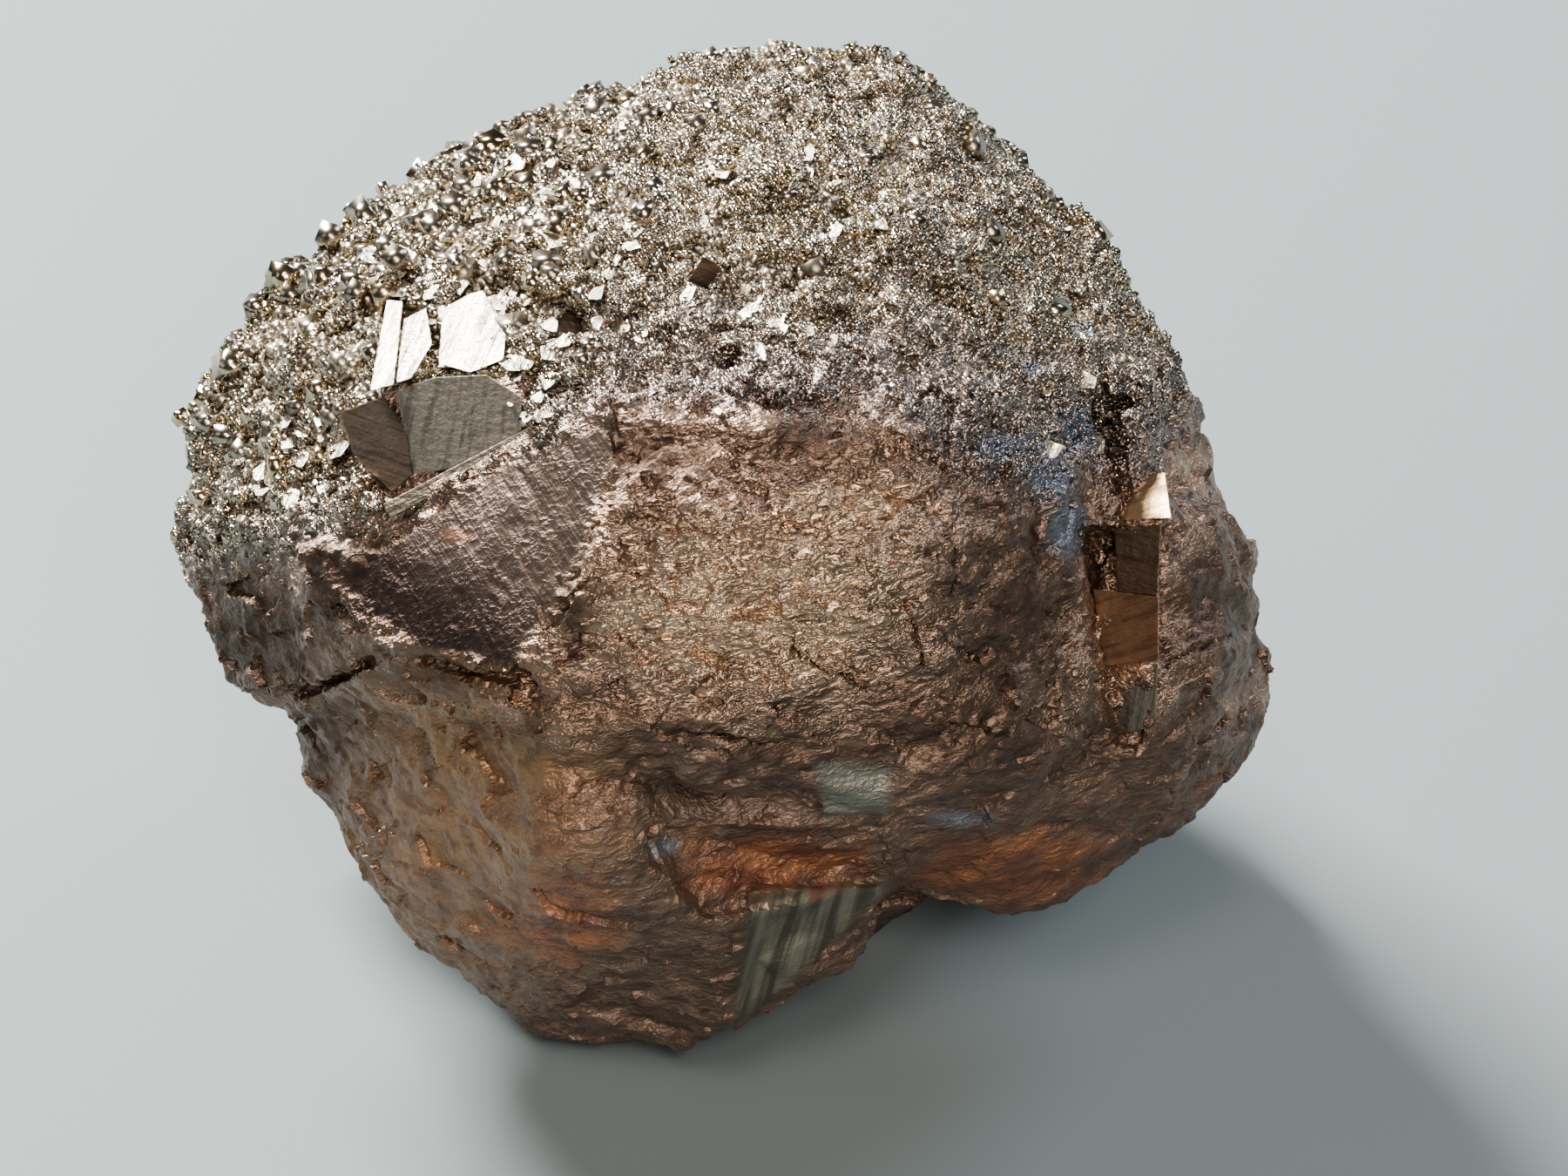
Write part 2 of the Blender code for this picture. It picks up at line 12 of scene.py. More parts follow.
import bmesh
import bpy
import numpy as np
from mathutils import Matrix, Vector, noise
from mathutils.bvhtree import BVHTree


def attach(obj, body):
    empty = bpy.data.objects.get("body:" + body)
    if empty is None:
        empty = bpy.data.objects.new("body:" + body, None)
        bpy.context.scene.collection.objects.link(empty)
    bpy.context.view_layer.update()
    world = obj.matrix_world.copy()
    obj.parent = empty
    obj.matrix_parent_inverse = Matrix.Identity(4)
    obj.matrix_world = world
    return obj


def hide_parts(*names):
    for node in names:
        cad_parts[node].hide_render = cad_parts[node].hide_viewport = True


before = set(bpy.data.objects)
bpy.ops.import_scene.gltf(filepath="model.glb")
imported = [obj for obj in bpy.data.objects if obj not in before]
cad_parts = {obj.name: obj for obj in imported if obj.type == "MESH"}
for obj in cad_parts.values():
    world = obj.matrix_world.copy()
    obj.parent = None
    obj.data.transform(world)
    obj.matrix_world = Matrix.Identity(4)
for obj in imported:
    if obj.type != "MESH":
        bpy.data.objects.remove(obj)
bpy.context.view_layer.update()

# %% [markdown]
# ## Measures
# Almost everything here is measured on the face that the lump shows: u to the right, v up the face, w out of
# it. That face leans back by 35 degrees, because the lump is looked at from above. Working in its own axes
# keeps the numbers readable, and numpy turns all points of a mesh into them at once.

# %% Axes of the front face
MM = 0.001
FACE_LEAN = math.radians(35)
LUMP_MIDDLE = Vector((-0.2, -4.6, 26.0)) * MM
RIGHT = Vector((1, 0, 0))
UP_FACE = Vector((0, math.sin(FACE_LEAN), math.cos(FACE_LEAN)))
OUT_OF_FACE = Vector((0, -math.cos(FACE_LEAN), math.sin(FACE_LEAN)))


def on_face(u, v, w):
    """A point in metres from its place on the front face, in millimetres."""
    return LUMP_MIDDLE + (RIGHT * u + UP_FACE * v + OUT_OF_FACE * w) * MM


def face_places(mesh):
    """The u, v and w of every vertex, in millimetres."""
    flat = np.empty(len(mesh.vertices) * 3, dtype=np.float32)
    mesh.vertices.foreach_get("co", flat)
    offsets = flat.reshape(-1, 3) - np.array(LUMP_MIDDLE, dtype=np.float32)
    axes = np.array([RIGHT, UP_FACE, OUT_OF_FACE], dtype=np.float32)
    return offsets @ axes.T / MM


print("Front face looks", tuple(round(x, 3) for x in OUT_OF_FACE))

# %% [markdown]
# ## Where each kind of surface is
# The lump has several kinds of surface, and each gets a mask: a number from 0 to 1 on every vertex. Masks are
# made from a few measured outlines and soft ovals, and noise frays their borders, because on a real stone one
# kind of surface never ends along a clean line. Outlines and lines are lists of corners, u and v in
# millimetres: where the sugary grains end, the fan-shaped crystal face, the block above it, and so on.

# %% Outlines and lines
GRAIN_EDGE = [
    (-31, -2.0), (-16.5, 2.4), (-10.8, 5.2), (-6, 7.4), (8, 7.2),
    (15.4, 3.3), (21.5, 3.6), (24.0, 4.6), (26.0, 8.0), (31, 10),
]
FAN = [
    (-22.5, -0.1), (-17.5, 1.9), (-9.4, 5.7), (-5.8, 8.2), (-5.3, 3.2),
    (-7.5, -0.5), (-9.6, -6.5), (-16, -5.2), (-21.3, -1.2),
]
BLOCK = [(-20.6, 7.4), (-16.8, 8.8), (-10.3, 8.9), (-10.3, 6.2), (-13.1, 4.2), (-17.5, 2.6), (-19.7, 4.7)]
GREEN_FACE = [(5.0, -11.3), (8.9, -11.6), (8.9, -13.9), (5.7, -14.2)]
UNDER_CRYSTAL = [(1.5, -18.3), (8.9, -18.2), (7.4, -22.1), (6.4, -23.2), (2.1, -25.2), (0.7, -26.6)]
CRACKS = [
    [(3.6, -5.3), (5.6, -6.4), (7.9, -7.4)],
    [(11.4, -4.6), (12.6, -5.4), (13.9, -5.8)],
    [(10.0, -3.7), (10.3, -5.0), (10.7, -6.5)],
    [(23.4, -7.6), (24.1, -6.2), (28.8, -4.3)],
    [(11.8, 0.6), (12.4, -0.8), (12.2, -2.2)],
    [(-2.0, -9.6), (2.4, -10.4), (5.0, -9.9)],
]
LOW_EDGE = -7.5
print("The lump has", len(CRACKS), "fine cracks")

# %% [markdown]
# Stains have no corners, so they are ovals: a middle and two radii. Rust sits low and in corners, and bands of
# painted shade over thicker tarnish are darker. The left is darkened with painted shade, a lobe at the lower
# left is warmer in colour, some parts are smoother, the middle has a painted gleam of gold highlights, and a
# thin oxide film is blue.

# %% Ovals of the stains and of painted light and shade
RUST_OVALS = [
    ((2.5, -16.9), (7.0, 2.4)),
    ((-8.9, -19.8), (4.6, 3.4)),
    ((16.0, -17.6), (7.5, 3.2)),
    ((-14.1, 0.7), (1.2, 0.5)),
    ((21.8, -5.5), (1.6, 2.2)),
    ((6.3, 24.6), (1.1, 0.9)),
]
# Painted shade over thicker tarnish: the band under the grains, the right and the lower front, the left and the
# creases by the fan.
SHADE_AND_TARNISH_OVALS = [
    ((-3.6, 4.7), (3.2, 2.0)),
    ((4.6, 5.6), (3.6, 2.0)),
    ((15.8, -3.6), (5.2, 8.0)),
    ((13.5, -10.0), (8.0, 5.0)),
    ((-4.0, -10.5), (7.0, 2.6)),
    ((4.0, -11.3), (11.0, 2.6)),
    ((-11.0, -11.0), (5.0, 3.0)),
    ((-25.5, -5.0), (5.0, 4.4)),
    ((-20.0, -9.0), (4.0, 1.6)),
    ((27.0, -3.5), (4.0, 6.0)),
    ((-21.5, -0.6), (4.0, 2.0)),
    ((-15.0, -6.6), (7.0, 1.8)),
    ((-7.6, -3.6), (1.6, 5.4)),
    ((-5.2, 5.6), (1.8, 3.4)),
]
# Painted shade on the left of the lump.
LEFT_SHADE_OVALS = [
    ((-26.5, -3.0), (7.5, 7.5)),
    ((-20.0, -2.5), (6.5, 3.5)),
    ((-24.0, -11.0), (5.0, 4.0)),
]
WARM_OVALS = [
    ((-13.5, -15.0), (8.0, 9.0)),
]
SMOOTH_OVALS = [
    ((-14.0, -17.5), (8.0, 9.0)),
    ((27.0, -3.0), (5.0, 9.0)),
    ((17.0, -17.0), (9.0, 5.0)),
]
# A painted gleam: the middle of the front is brighter and golden, as if light fell on it.
PAINTED_GLEAM_OVALS = [
    ((4.7, 1.9), (1.6, 1.4)),
    ((7.6, 1.8), (4.4, 1.8)),
    ((1.5, -2.5), (9.0, 4.5)),
]
BLUE_OVALS = [
    ((19.0, 6.3), (1.7, 1.9)),
    ((17.4, 3.6), (1.5, 1.5)),
    ((18.7, 1.0), (1.4, 2.2)),
    ((15.5, 5.6), (2.4, 1.0)),
    ((16.8, 9.5), (1.0, 0.8)),
    ((19.9, 11.9), (0.8, 0.6)),
    ((-3.0, -16.0), (1.0, 0.8)),
    ((13.0, -14.6), (2.4, 0.8)),
]
print(len(RUST_OVALS), "rust patches and", len(BLUE_OVALS), "blue ones")

# %% [markdown]
# Each kind of shape has its own function. It takes the places of all vertices and gives back a number for each.

# %% Masks from shapes
OVAL_REACH = 1.25
VERY_FAR = 1e9


def inside_outline(places, outline, soft):
    """1 inside a convex outline on the face, fading to 0 over this many millimetres."""
    corners = np.array(outline)
    middle = corners.mean(axis=0)
    depth = np.full(len(places), VERY_FAR)
    for start, end in zip(corners, np.roll(corners, -1, axis=0)):
        along = (end - start) / np.linalg.norm(end - start)
        across = np.array([-along[1], along[0]])
        if across @ (middle - start) < 0:
            across = -across
        depth = np.minimum(depth, (places[:, :2] - start) @ across)
    return np.clip(depth / soft + 0.5, 0, 1)


def inside_ovals(places, ovals, fray):
    """1 in the middle of each oval, falling to 0 a quarter of a radius past its edge. fray moves that edge."""
    mask = np.zeros(len(places))
    for middle, radii in ovals:
        distance = np.linalg.norm((places[:, :2] - middle) / radii, axis=1)
        mask = np.maximum(mask, OVAL_REACH - distance + fray)
    return np.clip(mask, 0, 1)


def above_line(places, line, fray, soft):
    """1 above a line across the face, fading to 0 over this many millimetres below it."""
    heights = np.interp(places[:, 0], [u for u, v in line], [v for u, v in line])
    return np.clip((places[:, 1] - heights + fray) / soft + 0.5, 0, 1)


def near_lines(places, lines, reach):
    """1 on a line across the face, fading to 0 at this distance from it."""
    nearest = np.full(len(places), VERY_FAR)
    for line in lines:
        for start, end in zip(np.array(line), np.array(line)[1:]):
            along = end - start
            share = np.clip((places[:, :2] - start) @ along / (along @ along), 0, 1)
            offset = places[:, :2] - start - share[:, None] * along
            nearest = np.minimum(nearest, np.linalg.norm(offset, axis=1))
    return np.clip(1 - nearest / reach, 0, 1)


def inside_cubes(points, cubes, margin):
    """1 inside each cube of the back and the sides, and this many millimetres around it."""
    mask = np.zeros(len(points), dtype=bool)
    for place, edge in cubes:
        inverse = place.inverted()
        local = points @ np.array(inverse.to_3x3()).T + np.array(inverse.translation)
        mask |= np.abs(local).max(axis=1) < edge * MM / 2 + margin * MM
    return mask


def noise_at(places, wave):
    """Smooth noise from -1 to 1 at every place, this many millimetres from crest to crest."""
    return np.array([noise.noise(Vector(place) / wave) for place in places.tolist()])


print("The fan has", len(FAN), "corners and the block has", len(BLOCK))

# %% [markdown]
# ## The cubes at the back
# Pyrite likes to grow as cubes. A few sit half sunk in the back and the sides. Each one is a middle, the length
# of its edge and two turns in degrees, and becomes a matrix, which places its mesh later and tells now where no
# grains grow.

# %% Where the cubes are
CUBES = [
    ((8.0, 24.0, -4.0), 12.0, -18.0, 14.0),
    ((14.5, 21.5, 1.5), 8.0, 10.0, 30.0),
    ((1.0, 26.0, -12.0), 8.0, 25.0, -10.0),
    ((-17.5, 19.0, -6.5), 10.0, 24.0, 12.0),
    ((-21.5, 12.0, -13.5), 7.0, -30.0, 10.0),
    ((22.5, 12.0, -14.5), 6.5, 33.0, -14.0),
]


def cube_place(middle, turn, lean):
    """The matrix of a cube of the back."""
    moved = Matrix.Translation(LUMP_MIDDLE + Vector(middle) * MM)
    turned = moved @ Matrix.Rotation(math.radians(turn), 4, "Z")
    lean_angle = math.radians(lean)
    return turned @ Matrix.Rotation(lean_angle, 4, "X") @ Matrix.Rotation(lean_angle, 4, "Y")


cubes = [(cube_place(middle, turn, lean), edge) for middle, edge, turn, lean in CUBES]
print(len(cubes), "cubes in the back and the sides")

# %% [markdown]
# ## The skin
# The skin is a copy of the CAD solid. Its vertices are merged first, because a mesh that comes out of a STEP
# file may be cut apart at its edges. A voxel remesh then covers it with small even faces, which fine detail
# can move.

# %% Copy and remesh the solid
SKIN_VOXEL = 0.21
MERGE_WITHIN = 0.000001


def made_by_modifiers(obj):
    """Replaces the object's mesh by what its modifiers make of it."""
    graph = bpy.context.evaluated_depsgraph_get()
    made = bpy.data.meshes.new_from_object(obj.evaluated_get(graph))
    obj.modifiers.clear()
    obj.data = made


def merged_copy(source, name):
    """A copy of a CAD node in place, with its vertices merged."""
    bm = bmesh.new()
    bm.from_mesh(source.data)
    bm.transform(source.matrix_world)
    bmesh.ops.remove_doubles(bm, verts=bm.verts, dist=MERGE_WITHIN)
    mesh = bpy.data.meshes.new(name)
    bm.to_mesh(mesh)
    bm.free()
    copy = bpy.data.objects.new(name, mesh)
    bpy.context.scene.collection.objects.link(copy)
    return copy


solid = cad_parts["pyrite"]
skin = merged_copy(solid, "pyrite_skin")
remesh = skin.modifiers.new("even_faces", "REMESH")
remesh.mode = "VOXEL"
remesh.voxel_size = SKIN_VOXEL * MM
made_by_modifiers(skin)
print("Skin has", len(skin.data.polygons), "faces")

# %% [markdown]
# Now every vertex gets its masks. A shape on the face would also catch the back of the lump, so each mask holds
# only where the surface stands far enough out. The borders fray with two sizes of noise.

# %% Masks of the skin
FRAY = [(2.6, 0.6), (0.9, 0.3)]
FRONT_FROM = -6

# Each outline with the softness of its edge and how far out its surface starts, in millimetres.
OUTLINES = {
    "fan": (FAN, 0.5, 6),
    "block": (BLOCK, 0.3, 2),
    "under": (UNDER_CRYSTAL, 0.6, -4),
    "green": (GREEN_FACE, 0.7, 4),
}
# Each kind of stain with how strongly the noise frays it.
STAINS = {
    "rust": (RUST_OVALS, 0.6),
    "blue": (BLUE_OVALS, 0.6),
    "shade_and_tarnish": (SHADE_AND_TARNISH_OVALS, 0.5),
    "darkened": (LEFT_SHADE_OVALS, 0.4),
    "warm": (WARM_OVALS, 0.6),
    "smooth": (SMOOTH_OVALS, 0.4),
    "painted_gleam": (PAINTED_GLEAM_OVALS, 0.5),
}

places = face_places(skin.data)
to_right, up_face, outwards = places.T
in_front = outwards > FRONT_FROM
fray = sum(noise_at(places, wave) * strength for wave, strength in FRAY)
masks = {}
for name, (outline, soft, least_out) in OUTLINES.items():
    masks[name] = inside_outline(places, outline, soft) * (outwards > least_out)
for name, (ovals, strength) in STAINS.items():
    masks[name] = inside_ovals(places, ovals, fray * strength) * in_front
print("Masks so far:", ", ".join(masks))

# %% [markdown]
# A few masks follow a line instead. The fan is lighter at its upper right, the foot of the lump gets painted
# shade and is less metallic, cracks wander along their lines, and the grains lie above their border. There they
# start small, and grow coarser upwards and to the left.

# %% Masks along lines
FAN_LINE = -15.0
FAN_LEAN = 1.4
FAN_FADE = 9.0
FAN_FRAY = 0.2
LOW_FADE = 4.0
LOW_FRAY = 2.0
LOW_SHADE_MOST = 0.8
FOOT_EDGE = LOW_EDGE - 2.0
CRACK_WIDTH = 0.15
CRACK_WANDER = 0.35
CRACKS_FROM = 3
GRAIN_FRAY = 1.6
GRAIN_SOFT = 2.6
CUBE_MARGIN = 0.5
COARSE_FADE = 9.0
COARSE_UPWARDS = 0.7
COARSE_LEFT_OF = -3
COARSE_LEFT_FADE = 10.0
COARSE_LEFTWARDS = 0.4

past_line = to_right + up_face * FAN_LEAN - FAN_LINE
masks["fan_light"] = np.clip(past_line / FAN_FADE + 0.5 + fray * FAN_FRAY, 0, 1)
# Painted shade: the foot of the lump is darkened as if shaded.
low_painted_shade = np.clip((LOW_EDGE - up_face + fray * LOW_FRAY) / LOW_FADE, 0, LOW_SHADE_MOST)
masks["shade_and_tarnish"] = np.maximum(masks["shade_and_tarnish"], low_painted_shade)
masks["low"] = np.clip((FOOT_EDGE - up_face + fray * LOW_FRAY) / LOW_FADE, 0, 1) * in_front
crack = near_lines(places + fray[:, None] * CRACK_WANDER, CRACKS, CRACK_WIDTH)
masks["crack"] = crack * (outwards > CRACKS_FROM)

points = np.empty(len(skin.data.vertices) * 3, dtype=np.float32)
skin.data.vertices.foreach_get("co", points)
cube = inside_cubes(points.reshape(-1, 3), cubes, CUBE_MARGIN)
grain = above_line(places, GRAIN_EDGE, fray * GRAIN_FRAY, GRAIN_SOFT)
masks["grain"] = grain * (1 - masks["fan"]) * (1 - masks["block"]) * ~cube
upwards = np.clip((up_face - np.interp(to_right, *zip(*GRAIN_EDGE))) / COARSE_FADE, 0, 1)
leftwards = np.clip((COARSE_LEFT_OF - to_right) / COARSE_LEFT_FADE, 0, 1)
masks["coarse"] = np.clip(upwards * COARSE_UPWARDS + leftwards * COARSE_LEFTWARDS, 0, 1)
print("Granular share of the skin", round(float(masks["grain"].mean()), 2))

# %% [markdown]
# ## Chips and splinters
# A broken crystalline surface is made of small flat pieces, each tilted its own way. The function facet gives
# that: noise splits space into cells, and in each cell the height is a plane that leans in the cell's own
# direction. Cells as wide as they are tall give chips. Cells stretched sideways give splinters.
# Each surface adds a coarser and a finer layer, so there is detail at every scale. The front also has sharp
# ridges, and the flat crystal faces have growth steps that all run one way.

# %% Heights of the fine surface
# Each layer is the width of its pieces along u, v and w, and its height, all in millimetres.
CLUMPS = [((3.8, 3.8, 3.8), 0.9), ((1.8, 1.8, 1.8), 0.35)]
CHIPS = [((1.6, 1.6, 1.6), 0.42), ((0.75, 0.75, 0.75), 0.25)]
SPLINTERS = [((3.6, 2.0, 2.8), 0.4), ((1.5, 0.9, 1.2), 0.15)]
STRIAE = [((3.2, 0.7, 4.0), 0.08)]
STRIAE_TURN = math.radians(-57)
CRINKLE_WAVE = (1.6, 0.85, 1.3)
CRINKLE_HEIGHT = 0.14
# How fast the ridges lose height from octave to octave, how much finer each octave is, how many there are,
# where the noise folds over, and how sharp the fold is.
CRINKLE_OCTAVES = (0.9, 2.1, 4, 1.0, 1.6)
CELL_SPREAD = 9.0


def scaled_place(place, wave):
    return Vector((place[0] / wave[0], place[1] / wave[1], place[2] / wave[2]))


def facet(place, wave):
    """Height of a surface of flat tilted pieces. wave is how wide a piece is along u, v and w."""
    scaled = scaled_place(place, wave)
    seed = noise.voronoi(scaled)[1][0]
    lean = noise.cell_vector(seed * CELL_SPREAD) * 2 - Vector((1, 1, 1))
    return (scaled - seed).dot(lean)


def layers(place, kinds):
    """All the layers of one kind of surface added up."""
    return sum(facet(place, wave) * height for wave, height in kinds)


def crinkles(place):
    """Sharp branching ridges, like those of crumpled foil."""
    ridges = noise.ridged_multi_fractal(scaled_place(place, CRINKLE_WAVE), *CRINKLE_OCTAVES)
    return (ridges - 1.0) * CRINKLE_HEIGHT


def striae(place):
    """Long narrow steps that all run one way, as a pyrite crystal has on its flat faces."""
    along = place[0] * math.cos(STRIAE_TURN) + place[1] * math.sin(STRIAE_TURN)
    across = place[1] * math.cos(STRIAE_TURN) - place[0] * math.sin(STRIAE_TURN)
    return layers((along, across, place[2]), STRIAE)


print("Finest chips are", CHIPS[-1][0][0], "mm wide")

# %% [markdown]
# The masks now say which kind of height each vertex gets. Flat crystal faces keep only their steps, and where
# clumps of grains sink in, the mask hollow grows, so that the grains' material can paint shade and dust into
# them.

# %% One height for every vertex
GREEN_CALM = 0.8
SMOOTHED = 0.45
HOLLOW_FROM = 0.1
CRACK_DEPTH = 0.2

flat_kinds = [masks["fan"], masks["block"], masks["under"], masks["green"] * GREEN_CALM, cube]
flat_face = np.max(flat_kinds, axis=0)
grain = masks["grain"]
coarse = masks["coarse"]
calm = 1 - SMOOTHED * masks["smooth"]
hollow = np.zeros(len(places))
heights = np.zeros(len(places))
for index, place in enumerate(places.tolist()):
    flat_share = flat_face[index]
    rough = 0.0
    if flat_share < 1:
        if grain[index] > 0:
            clumps = layers(place, CLUMPS)
            hollow[index] = min(1.0, max(0.0, HOLLOW_FROM - clumps)) * grain[index]
            rough += grain[index] * (layers(place, CHIPS) + coarse[index] * clumps)
        if grain[index] < 1:
            rough += (1 - grain[index]) * (layers(place, SPLINTERS) + crinkles(place)) * calm[index]
    steps = striae(place) if flat_share > 0 else 0.0
    heights[index] = rough * (1 - flat_share) + steps * flat_share
heights -= masks["crack"] * CRACK_DEPTH
masks["hollow"] = hollow
print("Heights from", round(heights.min(), 2), "to", round(heights.max(), 2), "mm")

# %% [markdown]
# The heights push each vertex along its normal. Near the base the push fades out, so that the lump still rests
# flat. The masks that the materials need are stored on the mesh, and stay with it from here on.

# %% Move the vertices and store the masks
FOOT_FADE = 2 * MM

coordinates = np.empty(len(places) * 3, dtype=np.float32)
normals = np.empty(len(places) * 3, dtype=np.float32)
skin.data.vertices.foreach_get("co", coordinates)
skin.data.vertex_normals.foreach_get("vector", normals)
coordinates = coordinates.reshape(-1, 3)
lift = np.clip(coordinates[:, 2] / FOOT_FADE, 0, 1)
coordinates += normals.reshape(-1, 3) * (heights * lift * MM)[:, None]
coordinates[:, 2] = np.maximum(coordinates[:, 2], 0)
skin.data.vertices.foreach_set("co", coordinates.ravel())

stored_masks = [name for name in masks if name not in ("block", "smooth")]
for name in stored_masks:
    layer = skin.data.attributes.new(name, "FLOAT", "POINT")
    layer.data.foreach_set("value", masks[name].astype(np.float32))
print(len(stored_masks), "masks are kept on the skin")

# %% [markdown]
# A Decimate modifier thins the mesh, most at the back and where grains will cover it. Moved and thinned, the
# skin can lose a crumb: a few faces that hang on nothing. They are found by walking from vertex to vertex
# along the edges, and all but the largest connected part is deleted.

# %% Thin the mesh
SKIN_TRIANGLES = 196000
SHARP_FROM = math.radians(38)
THIN_BACK = 0.8
THIN_GRAIN = 0.6
THIN_FRONT = 0.5


def drop_crumbs(mesh):
    """Deletes all of a mesh except its largest connected part. Returns how many vertices went."""
    bm = bmesh.new()
    bm.from_mesh(mesh)
    left = set(bm.verts)
    parts = []
    while left:
        part = []
        stack = [left.pop()]
        while stack:
            vertex = stack.pop()
            part.append(vertex)
            found = [edge.other_vert(vertex) for edge in vertex.link_edges]
            new_ones = [other for other in found if other in left]
            left.difference_update(new_ones)
            stack.extend(new_ones)
        parts.append(part)
    parts.sort(key=len)
    crumbs = [vertex for part in parts[:-1] for vertex in part]
    bmesh.ops.delete(bm, geom=crumbs, context="VERTS")
    bm.to_mesh(mesh)
    bm.free()
    return len(crumbs)


thin_here = skin.vertex_groups.new(name="thin_here")
thin_share = np.where(outwards < FRONT_FROM, THIN_BACK, np.where(grain > 0.5, THIN_GRAIN, THIN_FRONT))
for share in np.unique(thin_share):
    thin_here.add(np.nonzero(thin_share == share)[0].tolist(), float(share), "REPLACE")
thin = skin.modifiers.new("thin", "DECIMATE")
thin.ratio = min(1.0, SKIN_TRIANGLES / (2 * len(skin.data.polygons)))
thin.use_collapse_triangulate = True
thin.vertex_group = "thin_here"
thin.vertex_group_factor = 1.0
made_by_modifiers(skin)
print("Loose crumbs removed, in vertices:", drop_crumbs(skin.data))
skin.data.shade_smooth()
skin.data.set_sharp_from_angle(angle=SHARP_FROM)
print("Skin now has", len(skin.data.polygons), "triangles")

# %% [markdown]
# ## Helpers for materials
# One function turns a hex colour into the linear numbers that Blender's sockets take. Another adds a node, sets
# it and links it, so that a material reads as a list of steps.

# %% Colours and nodes
BRONZE_CODE = "#ab8f7b"


def linear(code):
    """A hex colour as linear red, green and blue, with alpha 1."""
    parts = [int(code[i:i + 2], 16) / 255 for i in (1, 3, 5)]
    return (*(p / 12.92 if p <= 0.04045 else ((p + 0.055) / 1.055) ** 2.4 for p in parts), 1.0)


def add(tree, kind, inputs=None, **settings):
    """Adds a node. inputs holds a value or another node's output for each of its sockets."""
    made = tree.nodes.new(kind)
    for name, value in settings.items():
        setattr(made, name, value)
    for socket, value in (inputs or {}).items():
        if isinstance(value, bpy.types.NodeSocket):
            tree.links.new(value, made.inputs[socket])
        else:
            made.inputs[socket].default_value = value
    return made


def new_material(name):
    """A material and its tree, with only the Principled shader and the output."""
    material = bpy.data.materials.new(name)
    material.use_nodes = True
    return material, material.node_tree, material.node_tree.nodes["Principled BSDF"]


print("Bronze is", tuple(round(c, 3) for c in linear(BRONZE_CODE)[:3]))

# %% [markdown]
# A stone's finish is built up in coats: tarnish over metal, rust over tarnish. Each coat lies where a mask is
# 1. So one function lays coats over a base, and works for colours, for plain values and for normals alike.
# Patterns are noise in streaks of a real length and width, because everything on this lump runs in some
# direction. A streak pattern can be cut off at two levels, which turns soft noise into patches.

# %% Coats, streaks and tilted cells
# The sockets of a Mix node for each kind of value: the base, the coat and the result.
MIX_SOCKETS = {"FLOAT": (2, 3, 0), "VECTOR": (4, 5, 1), "RGBA": (6, 7, 2)}
STREAK_ROUGHNESS = 0.6
STAIN_FROM = -0.25
STAIN_FULL = 0.4


def coated(tree, base, *coats, kind="RGBA"):
    """The base with each coat laid over it in turn. A coat is where it lies, and what it is there."""
    base_socket, coat_socket, result = MIX_SOCKETS[kind]
    for share, coat in coats:
        inputs = {0: share, base_socket: base, coat_socket: coat}
        base = add(tree, "ShaderNodeMix", inputs, data_type=kind).outputs[result]
    return base


def stretched(tree, along, across, turn=0.0, out=None):
    """Coordinates in pieces of this length, width and depth in mm, sloping by turn degrees on the face."""
    slope = math.radians(turn)
    length = RIGHT * math.cos(slope) + UP_FACE * math.sin(slope)
    width = UP_FACE * math.cos(slope) - RIGHT * math.sin(slope)
    axes = Matrix((length, width, OUT_OF_FACE)).transposed().to_euler()
    place = add(tree, "ShaderNodeTexCoord").outputs["Object"]
    inputs = {"Vector": place, "Rotation": axes, "Scale": (along * MM, across * MM, (out or across) * MM)}
    return add(tree, "ShaderNodeMapping", inputs, vector_type="TEXTURE").outputs["Vector"]


def streaks(tree, along, across, turn=0.0, detail=4.0, out=None, cut=None):
    """Noise from 0 to 1 in streaks of this length, width and slope. cut is the two levels for patches."""
    inputs = {"Vector": stretched(tree, along, across, turn, out), "Scale": 1.0}
    inputs |= {"Detail": detail, "Roughness": STREAK_ROUGHNESS}
    value = add(tree, "ShaderNodeTexNoise", inputs).outputs["Fac"]
    if cut:
        inputs = {"Value": value, "From Min": cut[0], "From Max": cut[1]}
        value = add(tree, "ShaderNodeMapRange", inputs).outputs["Result"]
    return value


def tilted_cells(tree, vector, tilt):
    """A normal that leans its own way in every little cell, and a random number for each cell."""
    cells = add(tree, "ShaderNodeTexVoronoi", {"Vector": vector, "Scale": 1.0})
    inputs = {0: cells.outputs["Color"], 1: (0.5, 0.5, 0.5)}
    centred = add(tree, "ShaderNodeVectorMath", inputs, operation="SUBTRACT")
    lean = add(tree, "ShaderNodeVectorMath", {0: centred.outputs[0], "Scale": tilt}, operation="SCALE")
    normal = add(tree, "ShaderNodeNewGeometry").outputs["Normal"]
    leaned = add(tree, "ShaderNodeVectorMath", {0: normal, 1: lean.outputs[0]}, operation="ADD")
    unit = add(tree, "ShaderNodeVectorMath", {0: leaned.outputs[0]}, operation="NORMALIZE")
    number = add(tree, "ShaderNodeSeparateColor", {"Color": cells.outputs["Color"]}).outputs["Green"]
    return unit.outputs[0], number


def stained(tree, share, crumbs):
    """A mask eaten away by noise, so that a stain lies in patches."""
    eaten = add(tree, "ShaderNodeMath", {0: share, 1: crumbs}, operation="SUBTRACT")
    inputs = {"Value": eaten.outputs[0], "From Min": STAIN_FROM, "From Max": STAIN_FULL}
    return add(tree, "ShaderNodeMapRange", inputs).outputs["Result"]


print("Coats can be", ", ".join(MIX_SOCKETS))

